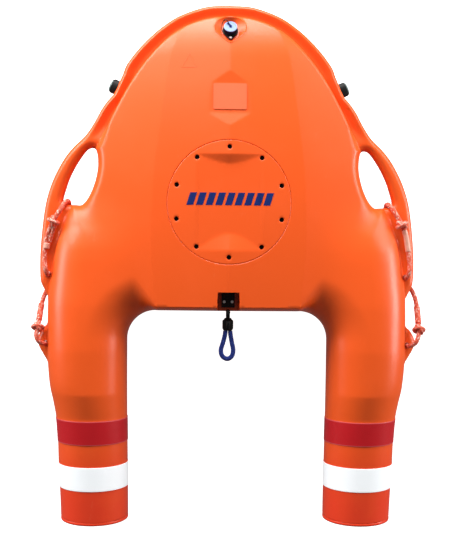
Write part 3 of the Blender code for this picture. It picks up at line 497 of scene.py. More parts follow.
def hull_height(points, loops, core_loop, upper=True):
    """Distance of the hull's skin from the seam at each plan point."""
    ax, y = np.abs(points[:, 0]), points[:, 1]
    top = np.maximum(roof(ax, y, upper), LEAST_RISE)
    outer = distance(points, loops[0])
    hole = np.min([distance(points, loop) for loop in loops[1:3]], axis=0)
    reach = np.clip(np.minimum(distance(points, core_loop), hole) / edge_round(ax, y), 0, 1)
    core = np.where(inside(points, core_loop), top * np.sqrt(1 - (1 - reach) ** 2), 0.0)
    fore = smoothstep((y - LIP_START_Y) / LIP_START_RUN) * smoothstep((hole - LIP_HOLE) / LIP_HOLE_RUN)
    rim_reach = np.clip(np.minimum(outer, hole) / (RIM_ROUND + (LIP_ROUND - RIM_ROUND) * fore), 0, 1)
    rim = RIM_RISE * np.sqrt(1 - (1 - rim_reach) ** 2)
    if upper:
        rim = rim - LIP_FALL * fore * smoothstep((outer - LIP_AT) / LIP_RUN)
    return np.where(core > 0, smooth_max(core, rim, JOIN_ROUND) - JOIN_ROUND / 4 * (rim_reach < 1e-6), rim)


# Recesses in the deck

FLAT_SINK = ROOF_SLOPE * RAMP_HALF
FLAT_SLOPE = (roof_z(0, HATCH_FLAT[1]) - roof_z(0, HATCH_FLAT[0])) / (HATCH_FLAT[1] - HATCH_FLAT[0])


def ramp_edge(across, run):
    """How far a ramp of the hatch's flat reaches from its chord, at a place across it."""
    return run * np.clip(1 - (np.abs(across) / RAMP_HALF) ** RAMP_BOW, 1e-3, 1)


def hatch_height(x, y):
    """The hatch's top over the floor: the roof's shape, with a flat let in between two ramps."""
    deck = SEAM_Z + roof(np.abs(x), y, True)
    base = roof_z(0, HATCH_FLAT[0]) - FLAT_SINK
    height = base + FLAT_SLOPE * (y - HATCH_FLAT[0])
    for chord, run, sign in zip(HATCH_FLAT, RAMP_RUN, (1, -1)):
        top = SEAM_Z + roof(np.abs(x), np.full_like(y, chord), True, crisp=True)
        drop = np.clip(top - base - FLAT_SLOPE * (chord - HATCH_FLAT[0]), 0, None)
        height = np.maximum(height, top - drop * sign * (y - chord) / ramp_edge(x, run))
    return np.minimum(deck, height)


POCKET_LINE = [
    (POCKET_TIPS[0], roof_z(0, POCKET_TIPS[0])),
    (POCKET_FLOOR_Y[0], roof_z(0, POCKET_FLOOR_Y[0]) - ROOF_SLOPE * POCKET_HALVES[0]),
    (POCKET_FLOOR_Y[1], roof_z(0, POCKET_FLOOR_Y[1]) - ROOF_SLOPE * POCKET_HALVES[1]),
    (POCKET_TIPS[1], roof_z(0, POCKET_TIPS[1])),
]


def pocket_floor(y):
    """Height of the pocket's ramps and floor, far over the deck outside its tips."""
    far, high = 0.05, 0.4
    line = np.array([(POCKET_TIPS[0] - far, high)] + POCKET_LINE + [(POCKET_TIPS[1] + far, high)])
    return np.interp(y, line[:, 0], line[:, 1], left=high, right=high)


PORT_FRAME = Matrix.Translation(PORT_ORIGIN) @ Matrix.Rotation(-PORT_TILT, 4, "X")
PORT_OUTLINE = [(x, y * PORT_OVAL) for x, y in arc((0, 0), PORT_HALF, -25, 205, 48)]
PORT_OUTLINE += arc((0, -0.0330), 0.007, 215, 325, 15)


def port_plan():
    """The port recess's rim in plan."""
    rim = resampled(PORT_OUTLINE, 0.002)
    return np.array([tuple((PORT_FRAME @ Vector((x, y, PORT_RIM_LIFT)))[:2]) for x, y in rim])


def polar(points):
    """Angle and distance of plan points about the port's centre."""
    across, up = points[:, 0], points[:, 1] - PORT_CENTRE_Y
    return np.arctan2(up, across), np.hypot(across, up)


def round_port(angles):
    """How far the port's floor and its lip reach from the centre, at each angle."""
    edge_angle, edge_far = polar(port_plan())
    order = np.argsort(edge_angle)
    edge = np.interp(angles, edge_angle[order], edge_far[order], period=2 * math.pi)
    turn = np.linspace(-math.pi, math.pi, 120, endpoint=False)
    across, along_it = PORT_FLOOR[0], PORT_FLOOR[1] * math.cos(PORT_TILT)
    floor = np.stack([across * np.cos(turn), PORT_ORIGIN[1] + along_it * np.sin(turn)], axis=1)
    floor_angle, floor_far = polar(floor)
    order = np.argsort(floor_angle)
    return np.interp(angles, floor_angle[order], floor_far[order], period=2 * math.pi), edge


def port_rings():
    """Closed lines round the port's wall and lip."""
    turn = np.linspace(-math.pi, math.pi, 110, endpoint=False)
    floor, edge = round_port(turn)
    reaches = [floor + (edge - floor) * step for step in PORT_STEPS]
    reaches += [edge + grow for grow in PORT_LIP_STEPS]
    way = np.stack([np.cos(turn), np.sin(turn)], axis=1)
    return [way * reach[:, None] + (0, PORT_CENTRE_Y) for reach in reaches]


def port_floor(y):
    """Height of the port's sloping floor."""
    return PORT_ORIGIN[2] - math.tan(PORT_TILT) * (y - PORT_ORIGIN[1])


def mesh_of(name, form):
    """Gathered faces as one mesh, turned outwards."""
    bmesh.ops.recalc_face_normals(form, faces=form.faces)
    mesh = bpy.data.meshes.new(name)
    form.to_mesh(mesh)
    form.free()
    return mesh


def mesh_from(name, vertices, faces):
    """A mesh from vertices and faces given by their numbers."""
    form = bmesh.new()
    verts = [form.verts.new(v) for v in vertices]
    for face in faces:
        form.faces.new([verts[i] for i in face])
    return mesh_of(name, form)


def linked(name, data):
    """A new object in the scene."""
    obj = bpy.data.objects.new(name, data)
    bpy.context.scene.collection.objects.link(obj)
    return obj


def make_object(name, mesh, body, paint, smooth_angle=40):
    """An object on a body, shaded smooth where its faces meet under an angle."""
    mesh.shade_smooth()
    mesh.set_sharp_from_angle(angle=math.radians(smooth_angle))
    obj = linked(name, mesh)
    if paint is not None:
        mesh.materials.append(paint)
    if body:
        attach(obj, body)
    return obj


# The hull's mesh


def inward(loop, offsets_of):
    """Rings of points inside a loop, where they keep the distance that offsets_of gives."""
    tangent = np.roll(loop, -1, axis=0) - np.roll(loop, 1, axis=0)
    tangent /= np.maximum(np.linalg.norm(tangent, axis=1), 1e-9)[:, None]
    normal = np.stack([tangent[:, 1], -tangent[:, 0]], axis=1)
    out = []
    for offset in offsets_of(np.abs(loop[:, 0]), loop[:, 1]):
        for sign in (1, -1):
            moved = loop + sign * normal * offset[:, None]
            out.append(moved[distance(moved, loop) > 0.93 * offset])
    return np.concatenate(out)


def rounding_steps(count):
    """Parts of a quarter round's reach, even in angle."""
    return [1 - math.cos(math.pi / 2 * k / count) for k in range(1, count)]


def thin_out(points, spacing_of, fixed):
    """Drops each free point that lies too near a fixed or an already kept one."""
    cell = 0.004
    grid = {}

    def put(p):
        grid.setdefault((int(p[0] // cell), int(p[1] // cell)), []).append(p)

    for p in fixed:
        put(p)
    kept = []
    for p, gap in zip(points, spacing_of):
        i, j = int(p[0] // cell), int(p[1] // cell)
        near = (q for a in (-1, 0, 1) for b in (-1, 0, 1) for q in grid.get((i + a, j + b), ()))
        if all((p[0] - q[0]) ** 2 + (p[1] - q[1]) ** 2 > gap * gap for q in near):
            put(p)
            kept.append(p)
    return np.array(kept)


def clear_of(points, lines, gap):
    """Whether each point keeps a gap from every (line, closed) pair."""
    keep = np.ones(len(points), bool)
    for line, closed in lines:
        shut = line if closed else np.concatenate([line, line[::-1]])
        keep &= distance(points, shut, 0.01) > gap
    return keep


def triangulated(loops, lines, free):
    """Points and triangles of the area inside the first loop and outside the others."""
    plan, edges = [], []
    for loop in loops:
        start = len(plan)
        plan += [tuple(p) for p in loop]
        edges += [(start + i, start + (i + 1) % len(loop)) for i in range(len(loop))]
    border = len(plan)
    for line, closed in lines:
        start = len(plan)
        plan += [tuple(p) for p in line]
        edges += [(start + i, start + i + 1) for i in range(len(line) - 1)]
        if closed:
            edges.append((start + len(line) - 1, start))
    plan += [tuple(p) for p in free]
    points, _, faces, _, _, _ = delaunay_2d_cdt([Vector(p) for p in plan], edges, [], 0, 1e-8)
    points = np.array([tuple(p) for p in points])
    faces = np.array(faces)
    middle = points[faces].mean(axis=1)
    good = inside(middle, loops[0])
    for loop in loops[1:]:
        good &= ~inside(middle, loop)
    return points, faces[good], border


def hull_loops(step):
    """The hull's outline in plan, then its hand holes and its rope holes."""
    hole = smooth_through(HAND_HOLE, step * 0.8, closed=True)
    loops = [hull_outline(step), hole, (hole * (-1, 1))[::-1]]
    for spot in (FLANGE_HOLE, EAR_HOLE):
        for sign in (1, -1):
            loops.append(ring_points((sign * spot[0], spot[1]), ROPE_HOLE, 24))
    return loops


def deck_lines(step):
    """The edges of the deck's recesses in plan, each with whether it is closed."""
    closed = [ring_points((0, HATCH_Y), HATCH_RADIUS + reach, HATCH_SIDES) for reach in SEAT_STEPS]
    closed += port_rings()
    corners = [(0, POCKET_TIPS[1]), (-POCKET_HALVES[1], POCKET_FLOOR_Y[1]),
               (-POCKET_HALVES[0], POCKET_FLOOR_Y[0]), (0, POCKET_TIPS[0]),
               (POCKET_HALVES[0], POCKET_FLOOR_Y[0]), (POCKET_HALVES[1], POCKET_FLOOR_Y[1])]
    closed.append(resampled(corners, step))
    opened = [straight((-half, y), (half, y), step) for half, y in zip(POCKET_HALVES, POCKET_FLOOR_Y)]
    for e in TOW_STEPS:
        mouth = CROTCH_Y + 0.0012
        corners = [(-TOW_MOUTH - e, mouth), (-TOW_HALF - e, TOW_FRONT_Y + e),
                   (TOW_HALF + e, TOW_FRONT_Y + e), (TOW_MOUTH + e, mouth)]
        opened.append(resampled(corners, 0.003, False))
    return [(line, True) for line in closed] + [(line, False) for line in opened]


def near_edge(ax, y):
    """How far in the rings follow the outline and the hand holes."""
    leg = (y < CROTCH_Y - 0.02) | ((y < 0) & (ax < 0.3))
    reach = np.where(leg, edge_round(ax, y), RIM_ROUND)
    return [part * reach for part in rounding_steps(10)]


def near_core(ax, y):
    """How far in the rings follow the raised body's edge."""
    return [part * edge_round(ax, y) for part in [0.0] + rounding_steps(9) + [1.0]]


def hull_mesh(outline_step, grid_step):
    """The whole hull: a skin over the seam, one under it, joined along the rim and all holes."""
    loops = hull_loops(outline_step)
    core = core_outline(outline_step)
    border = np.concatenate(loops)
    corners = (float(along(LEG_IN, LEG_END_Y)), float(along(LEG_OUT, LEG_END_Y)))
    across = np.abs(border[:, 0])
    at_end = np.abs(border[:, 1] - LEG_END_Y) < 1e-6
    at_end &= (across > corners[0] + 1e-5) & (across < corners[1] - 1e-5)
    at_hole = np.arange(len(border)) >= sum(len(loop) for loop in loops[:3])
    rings = [inward(loop, near_edge) for loop in loops[:3]]
    rings.append(inward(core, near_core))
    ys = np.arange(CROTCH_Y + 0.006, BOW_CORE_Y - 0.012, grid_step)
    chine = np.stack([along(CHINE, ys), ys], axis=1)
    ridge = np.stack([np.zeros(len(ys)), ys], axis=1)
    gx, gy = np.meshgrid(np.arange(-GRID_REACH[0], GRID_REACH[0] + 0.001, grid_step),
                         np.arange(LEG_END_Y, GRID_REACH[1], grid_step))
    gx += (np.arange(gx.shape[0]) % 2)[:, None] * grid_step / 2
    grid = np.stack([gx.ravel(), gy.ravel()], axis=1)
    skins = []
    for upper in (True, False):
        lines = [(chine, False), (chine * (-1, 1), False), (ridge, False)]
        if upper:
            lines += deck_lines(grid_step)
        free = np.concatenate(rings + [grid])
        ring_count = sum(len(ring) for ring in rings)
        spacing = np.concatenate([np.full(ring_count, RING_GAP), np.full(len(grid), grid_step * 0.7)])
        keep = inside(free, loops[0])
        for loop in loops[1:]:
            keep &= ~inside(free, loop)
        keep &= np.min([distance(free, loop) for loop in loops], axis=0) > BORDER_GAP
        keep &= clear_of(free, lines, LINE_GAP)
        free = thin_out(free[keep], spacing[keep], border)
        points, faces, count = triangulated(loops, lines, free)
        rise = hull_height(points, loops, core, upper)
        rise[:count][~at_end & ~at_hole] = 0.0
        if upper:
            rise = with_recesses(points, rise)
        skins.append((points, faces, rise))
    return loops, skins, at_end, at_hole


def with_recesses(points, rise):
    """The deck's height from the seam after its four recesses."""
    x, y = points[:, 0], points[:, 1]
    z = SEAM_Z + rise
    from_hatch = np.hypot(x, y - HATCH_Y)
    lip = np.clip((HATCH_RADIUS + SEAT_LIP - from_hatch) / SEAT_LIP, 0, 1)
    z = np.where(from_hatch < HATCH_RADIUS - 0.0002, SEAT_Z, z - SEAT_LIP_FALL * lip**2)
    z = np.where(np.abs(x) < POCKET_REACH, np.minimum(z, pocket_floor(y)), z)
    angle, far = polar(points)
    floor, reach = round_port(angle)
    wall = np.clip((far - floor) / (reach - floor), 0, 1) ** PORT_WALL
    near = np.hypot(x, y - PORT_CENTRE_Y) < PORT_REACH
    z = z + PORT_LIP_RISE * smoothstep(1 - np.abs(far - reach - PORT_LIP_AT) / PORT_LIP_RUN) * near
    sunk = port_floor(y)
    z = np.where(near & (far < reach - 1e-6), np.minimum(z, sunk + (z - sunk) * wall), z)
    mouth = CROTCH_Y - 0.01
    corners = [(-TOW_HALF, TOW_FRONT_Y), (TOW_HALF, TOW_FRONT_Y), (TOW_MOUTH, mouth), (-TOW_MOUTH, mouth)]
    shrunk = np.array([(px - math.copysign(GAP, px), py - GAP) for px, py in corners])
    z = np.where(inside(points, shrunk), np.minimum(z, TOW_FLOOR), z)
    return z - SEAM_Z


def hull_skin(outline_step, grid_step):
    """One closed mesh: both skins, walls in the rope holes and flat ends on the legs."""
    loops, skins, at_end, at_hole = hull_mesh(outline_step, grid_step)
    border = np.concatenate(loops)
    split = at_end | at_hole
    form = bmesh.new()
    made = []
    for side, (points, faces, rise) in zip((1, -1), skins):
        verts = []
        for i, (p, h) in enumerate(zip(points, rise)):
            shared = made and i < len(border) and not split[i]
            verts.append(made[0][i] if shared else form.verts.new((p[0], p[1], SEAM_Z + side * h)))
        made.append(verts)
        for face in faces:
            form.faces.new([verts[k] for k in face[::side]])
    upper, lower = made
    start = sum(len(loop) for loop in loops[:3])
    for loop in loops[3:]:
        ring = slice(start, start + len(loop))
        join_rings(form, [upper[ring], lower[ring]])
        start += len(loop)
    for sign in (1, -1):
        ends = np.where(np.abs(border[:, 1] - LEG_END_Y) < 1e-6)[0]
        row = sorted((i for i in ends if sign * border[i][0] > 0), key=lambda i: border[i][0])
        form.faces.new([upper[i] for i in row] + [lower[i] for i in row[-2:0:-1]])
    return mesh_of("hull_skin", form)


# Solids gathered into one mesh


def placed(origin, axis):
    """A matrix that takes Z to the axis at the origin."""
    return Matrix.Translation(origin) @ Vector(axis).to_track_quat("Z", "Y").to_matrix().to_4x4()


def join_rings(form, rings, closed=False):
    """Adds the faces from each ring of vertices to the next."""
    pairs = list(zip(rings, rings[1:])) + ([(rings[-1], rings[0])] if closed else [])
    for low, high in pairs:
        for k in range(len(low)):
            n = (k + 1) % len(low)
            form.faces.new(tuple(dict.fromkeys((low[k], low[n], high[n], high[k]))))


def add_turned(form, profile, sides=64, place=None, ribs=0, rib_depth=0.0):
    """Adds a closed solid turned about Z from (radius, height) points, with optional lengthwise ribs."""
    rings = []
    for radius, z in profile:
        if radius == 0:
            rings.append([form.verts.new((0, 0, z))] * sides)
            continue
        ring = []
        for k in range(sides):
            angle = 2 * math.pi * k / sides
            r = radius - rib_depth * (0.5 + 0.5 * math.cos(ribs * angle)) * bool(ribs)
            ring.append(form.verts.new((r * math.cos(angle), r * math.sin(angle), z)))
        rings.append(ring)
    join_rings(form, rings, closed=profile[0][0] != 0)
    if place is not None:
        bmesh.ops.transform(form, matrix=place, verts=list({v for ring in rings for v in ring}))


def rod(radius, low, high):
    """The profile of a plain turned rod."""
    return [(0, low), (radius, low), (radius, high), (0, high)]


def oblong(left, aft, right, fore):
    """The outline of a plain oblong."""
    return [(left, aft), (right, aft), (right, fore), (left, fore)]


def add_prism(form, outline, low, high, place=None, bevel=0.0):
    """Adds an outline carried from low to high, with its edges rounded."""
    under = [form.verts.new((x, y, low)) for x, y in outline]
    over = [form.verts.new((x, y, high)) for x, y in outline]
    faces = [form.faces.new(under[::-1]), form.faces.new(over)]
    for i in range(len(outline)):
        n = (i + 1) % len(outline)
        faces.append(form.faces.new((under[i], under[n], over[n], over[i])))
    verts = under + over
    if bevel:
        edges = list({e for face in faces for e in face.edges})
        sharp = [e for e in edges if e.calc_face_angle(0) > math.radians(40)]
        made = bmesh.ops.bevel(form, geom=sharp, offset=bevel, segments=3, profile=0.5, affect="EDGES")
        verts = list({v for v in verts if v.is_valid} | set(made["verts"]))
    if place is not None:
        bmesh.ops.transform(form, matrix=place, verts=verts)


def add_tube(form, points, radius_of, sides, values=None, layer=None):
    """Adds a closed tube round a line; radius_of gives a radius for each (station, side)."""
    points = np.array(points, float)
    tangent = np.gradient(points, axis=0)
    tangent /= np.linalg.norm(tangent, axis=1)[:, None]
    normal = np.cross(tangent[0], (0.31, 0.12, 0.94))
    normal /= np.linalg.norm(normal)
    run = np.concatenate([[0], np.cumsum(np.linalg.norm(np.diff(points, axis=0), axis=1))])
    turn = np.arange(sides) * 2 * math.pi / sides
    radii = radius_of(run[:, None], turn[None, :])
    shades = None if values is None else values(run[:, None], turn[None, :])
    rings = []
    for i, (p, t) in enumerate(zip(points, tangent)):
        normal = normal - t * (normal @ t)
        normal /= np.linalg.norm(normal)
        side = np.cross(t, normal)
        around = p + radii[i][:, None] * (np.cos(turn)[:, None] * normal + np.sin(turn)[:, None] * side)
        ring = [form.verts.new(q) for q in around]
        if shades is not None:
            for vert, shade in zip(ring, shades[i]):
                vert[layer] = float(shade)
        rings.append(ring)
    join_rings(form, rings)
    form.faces.new(rings[0][::-1])
    form.faces.new(rings[-1])


def line_length(line):
    """Length along a line of points."""
    return float(np.linalg.norm(np.diff(line, axis=0), axis=1).sum())


def mirror(name, sign):
    """The name of the right or the left one of a pair."""
    return f"{name}_{'right' if sign > 0 else 'left'}"


def piece(name, form, finish_name, stands_for=None, body="hull", smooth_angle=40, holes=()):
    """Gathered solids as one piece on a body, with the node it replaces and the slot it is coloured from."""
    obj = make_object(name, mesh_of(name, form), body, finish(finish_name), smooth_angle)
    if holes:
        cut_away(obj, holes)
    if stands_for:
        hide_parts(stands_for)
    return obj


def dress(node, finish_name):
    """Gives a node that stays in view its finish."""
    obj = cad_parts[node]
    if not obj.material_slots:
        obj.data.materials.append(finish(finish_name))
    for place in obj.material_slots:
        place.material = finish(finish_name)


def cut_away(obj, cutters):
    """Cuts every cutter from a piece and removes the cutters."""
    for tool in cutters:
        step = obj.modifiers.new(tool.name, "BOOLEAN")
        step.object = tool
        step.solver = "EXACT"
    graph = bpy.context.evaluated_depsgraph_get()
    mesh = bpy.data.meshes.new_from_object(obj.evaluated_get(graph))
    obj.modifiers.clear()
    old = obj.data
    obj.data = mesh
    bpy.data.meshes.remove(old)
    for tool in cutters:
        bpy.data.objects.remove(tool)


# Braided ropes


def stitches(run, turn):
    """(height 0 to 1, strand number) of a plain braid at a place along and round the rope."""
    a = CARRIERS * turn / (2 * math.pi) + run / STITCH
    b = CARRIERS * turn / (2 * math.pi) - run / STITCH
    fore = (np.floor(a) + np.floor(b)) % 2 == 0
    across = np.where(fore, a % 1, b % 1)
    down = np.where(fore, b % 1, a % 1)
    height = np.sin(math.pi * across) ** 0.6 * (0.5 + 0.5 * np.sin(math.pi * down))
    strand = np.where(fore, np.floor(a) % CARRIERS, CARRIERS + np.floor(b) % CARRIERS)
    return height, strand


def add_braid(form, lines, diameter, fleck_strands, sides):
    """Adds braided tubes along lines, and marks the strands that carry flecks."""
    layer = form.verts.layers.float.new("fleck")

    def radius_of(run, turn):
        return diameter / 2 * (0.90 + 0.13 * stitches(run, turn)[0])

    def fleck(run, turn):
        return np.isin(stitches(run, turn)[1], fleck_strands) * 1.0

    for line in lines:
        add_tube(form, line, radius_of, sides, fleck, layer)


def braided(name, route, diameter, finish_name, stands_for=None, body="hull", strands=FLECKS, step=0.0007,
            sides=56):
    """A braided rope on a smooth line through a route: the piece, its path and its length."""
    line = smooth_through(route, step)
    form = bmesh.new()
    add_braid(form, [line], diameter, strands, sides)
    obj = piece(name, form, finish_name, stands_for, body, 75)
    return obj, line[::8].tolist() + [line[-1].tolist()], line_length(line)


def knot(name, line, at, stands_for, tail=None):
    """A hitch: one full turn of rope round the standing rope, its crossing and an optional tail."""
    way = Vector(line[min(at + 8, len(line) - 1)]) - Vector(line[max(at - 8, 0)])
    place = placed(line[at], way)
    up = place.to_3x3().transposed() @ Vector((0, 0, 1))
    place = place @ Matrix.Rotation(math.atan2(up.y, up.x) - math.pi / 2, 4, "Z")
    wide, tall, lean = KNOT_WIDE, KNOT_TALL, KNOT_LEAN * KNOT_ROPE
    angles = np.linspace(-0.7 * math.pi, 1.5 * math.pi, 72)
    coil = np.stack([wide * np.cos(angles), tall * np.sin(angles), lean * (angles / math.pi - 0.4)], axis=1)
    cross = [(wide * 0.55, -tall * 0.3, KNOT_ROPE * 0.85), (wide * 0.35, tall * 0.70, KNOT_ROPE * 0.55),
             (-wide * 0.25, tall * 0.80, -KNOT_ROPE * 0.45), (-wide * 0.55, -tall * 0.1, -KNOT_ROPE * 0.90)]
    lines = [[place @ Vector(p) for p in coil], [place @ Vector(p) for p in cross]]
    if tail:
        lines.append(tail)
    form = bmesh.new()
    add_braid(form, [smooth_through(points, 0.0009) for points in lines], KNOT_ROPE, FLECKS, 36)
    return piece(name, form, "orange_rope", stands_for, smooth_angle=75)


def smooth_sleeve(name, line, radius, finish_name):
    """A close smooth sleeve on a stretch of rope, with soft ends."""
    total = line_length(line)

    def radius_of(run, turn):
        end = np.minimum(run, total - run)
        soft = np.sqrt(np.clip(1 - (1 - np.clip(end / 0.002, 0, 1)) ** 2, 0, 1))
        return radius * (0.86 + 0.14 * soft) + 0 * turn

    form = bmesh.new()
    add_tube(form, line, radius_of, 40)
    return piece(name, form, finish_name, smooth_angle=60)


# Finishes


class Wire:
    """A shader value with arithmetic that adds its nodes."""

    def __init__(self, paint, socket):
        self.paint = paint
        self.socket = socket

    def maths(self, operation, *values):
        node = self.paint.node("Math", {"operation": operation}, dict(enumerate(values)))
        return Wire(self.paint, node.outputs[0])

    def __add__(self, other):
        return self.maths("ADD", self, other)

    def __sub__(self, other):
        return self.maths("SUBTRACT", self, other)

    def __rsub__(self, other):
        return self.maths("SUBTRACT", other, self)

    def __mul__(self, other):
        return self.maths("MULTIPLY", self, other)

    __radd__ = __add__
    __rmul__ = __mul__

    def larger(self, other):
        return self.maths("MAXIMUM", self, other)

    def size(self):
        return self.maths("ABSOLUTE", self)

    def sine(self):
        return self.maths("SINE", self)

    def ramp(self, low, high):
        """0 below low, 1 over high, smooth between."""
        node = self.paint.node("MapRange", {"interpolation_type": "SMOOTHSTEP"},
                               {"Value": self, "From Min": low, "From Max": high})
        return Wire(self.paint, node.outputs["Result"])


class Paint:
    """A material on one Principled shader."""

    def __init__(self, name, **settings):
        self.material = bpy.data.materials.new(name)
        self.material.use_nodes = True
        self.tree = self.material.node_tree
        self.tree.nodes.clear()
        self.shader = self.node("BsdfPrincipled")
        self.set(**settings)
        self.node("OutputMaterial", {}, {"Surface": Wire(self, self.shader.outputs["BSDF"])})

    def node(self, kind, settings=None, inputs=None):
        """Adds a node of a kind, with its settings and then the values or links of its sockets."""
        made = self.tree.nodes.new("ShaderNode" + kind)
        for key, value in (settings or {}).items():
            setattr(made, key, value)
        for key, value in (inputs or {}).items():
            self.feed(made.inputs[key], value)
        return made

    def feed(self, socket, value):
        if isinstance(value, Wire):
            self.tree.links.new(value.socket, socket)
        elif socket.type == "RGBA":
            socket.default_value = (*value[:3], 1)
        else:
            socket.default_value = value

    def set(self, **inputs):
        """Gives the shader's own sockets their values or links."""
        for key, value in inputs.items():
            label = key.replace("_", " ").title().replace("Ior", "IOR")
            self.feed(self.shader.inputs[label], value)

    def place(self):
        """The point in the object's own frame."""
        return Wire(self, self.node("TexCoord").outputs["Object"])

    def parts(self):
        """The point's x, y and z."""
        split = self.node("SeparateXYZ", {}, {"Vector": self.place()})
        return [Wire(self, out) for out in split.outputs]

    def noise(self, scale, detail=3.0, roughness=0.55, stretch=None):
        where = self.place()
        if stretch:
            scaled = self.node("VectorMath", {"operation": "MULTIPLY"}, {0: where, 1: stretch})
            where = Wire(self, scaled.outputs[0])
        inputs = {"Vector": where, "Scale": scale, "Detail": detail, "Roughness": roughness}
        node = self.node("TexNoise", {}, inputs)
        return Wire(self, node.outputs["Fac"])

    def mark(self, name):
        """A value kept on the mesh's points."""
        return Wire(self, self.node("Attribute", {"attribute_name": name}).outputs["Fac"])

    def mix(self, factor, first, second):
        node = self.node("Mix", {"data_type": "RGBA"}, {0: factor, 6: first, 7: second})
        return Wire(self, node.outputs[2])

    def bump(self, height, strength, reach):
        node = self.node("Bump", {}, {"Strength": strength, "Distance": reach, "Height": height})
        self.set(normal=Wire(self, node.outputs["Normal"]))


def tinted(colour, share, lift=0.0):
    """A colour made brighter or darker."""
    return tuple(min(1.0, share * c + lift) for c in colour)


def moulded_orange(name, colour, end_shade, roughness):
    """Rotation-moulded polyethylene: satin, fine grain, faint mottling, light scuffs, painted shade at the
    legs' ends.
    """
    paint = Paint(name, specular_ior_level=0.42)
    _, y, _ = paint.parts()
    mottle = paint.noise(9, 4)
    # Painted shade: darker and redder towards the legs' ends, standing in for the light falling off towards
    # the stern
    end_shade_mask = (y * -1).ramp(0.33, 0.56)
    base = paint.mix(end_shade_mask * 0.75, colour, end_shade)
    base = paint.mix(mottle.ramp(0.45, 0.75) * 0.30, base, tinted(colour, 1.08, 0.008))
    scuffs = paint.noise(38, 6, 0.7, (1.0, 0.35, 1.0)).ramp(0.64, 0.73)
    base = paint.mix(scuffs * 0.06, base, (0.93, 0.42, 0.22))
    paint.set(base_color=base, roughness=roughness + mottle * 0.08 + scuffs * 0.10)
    grain = paint.noise(700, 2) * 0.4 + paint.noise(160, 3) * 0.6
    paint.bump(grain, 0.16, 0.0005)
    return paint.material


def moulded_plastic(name, colour, roughness, shine=0.5):
    """Moulded or painted plastic with a fine even grain."""
    paint = Paint(name, specular_ior_level=shine)
    spread = paint.noise(60, 4)
    base = paint.mix(spread, tinted(colour, 0.8), tinted(colour, 1.4, 0.002))
    paint.set(base_color=base, roughness=roughness + spread * 0.12)
    paint.bump(paint.noise(900, 2), 0.25, 0.0003)
    return paint.material


def brushed_metal(name, colour, roughness):
    """Metal with a lengthwise brushing and faint stains."""
    paint = Paint(name, metallic=1.0)
    brushing = paint.noise(500, 3, 0.6, (1.0, 0.06, 1.0))
    stain = paint.noise(25, 4)
    base = paint.mix(stain, tinted(colour, 0.82), colour)
    paint.set(base_color=base, roughness=roughness + brushing * 0.16)
    paint.bump(brushing, 0.15, 0.0002)
    return paint.material


def reflective_tape(name, colour, line_colour, edges, painted_glow):
    """Reflective tape: a fine grid of cells that glint back, a pale hem along both edges, and a painted glow.
    """
    # The emission is painted light: the tape glows in its own colour though it is no lamp
    paint = Paint(name, coat_weight=0.10, coat_roughness=0.2, specular_ior_level=0.25, emission_color=colour,
                  emission_strength=painted_glow)
    x, y, _ = paint.parts()
    turns = 2 * math.pi / TAPE_PITCH
    lean = (x * 0.86 + y * 0.5) * turns
    back = (x * -0.86 + y * 0.5) * turns
    grid = lean.sine().size().larger(back.sine().size()).ramp(0.90, 0.99)
    spread = paint.noise(30, 3)
    base = paint.mix(grid * 0.30, colour, line_colour)
    base = paint.mix(spread.ramp(0.35, 0.8) * 0.15, base, tinted(colour, 0.78))
    middle, half = 0.5 * (edges[0] + edges[1]), 0.5 * (edges[0] - edges[1])
    hem = (y - middle).size().ramp(half - 0.0024, half - 0.0018)
    base = paint.mix(hem * 0.6, base, tinted(colour, 1.2, 0.12))
    paint.set(base_color=base, roughness=0.34 + spread * 0.14)
    paint.bump(grid, 0.2, 0.0002)
    return paint.material


def rope_yarn(name, colour, shade, fleck):
    """Braided yarn, with worn pale fleck strands and fine fibres."""
    paint = Paint(name, sheen_weight=0.15, sheen_roughness=0.5, specular_ior_level=0.25)
    fibres = paint.noise(1500, 2)
    base = paint.mix(fibres, shade, colour)
    broken = paint.noise(420, 2).ramp(0.36, 0.56)
    worn = paint.noise(70, 3).ramp(0.36, 0.62)
    base = paint.mix(paint.mark("fleck") * broken * (worn * 0.75 + 0.2), base, fleck)
    paint.set(base_color=base, roughness=0.62 + fibres * 0.3)
    paint.bump(fibres, 0.5, 0.0003)
    return paint.material


def clear_lens(name, colour):
    """Clear lamp plastic with a faint haze."""
    paint = Paint(name, transmission_weight=0.35, ior=1.49)
    haze = paint.noise(120, 3)
    paint.set(base_color=paint.mix(haze, colour, tinted(colour, 1.3)), roughness=0.08 + haze * 0.10)
    paint.bump(paint.noise(700, 2), 0.05, 0.0002)
    return paint.material


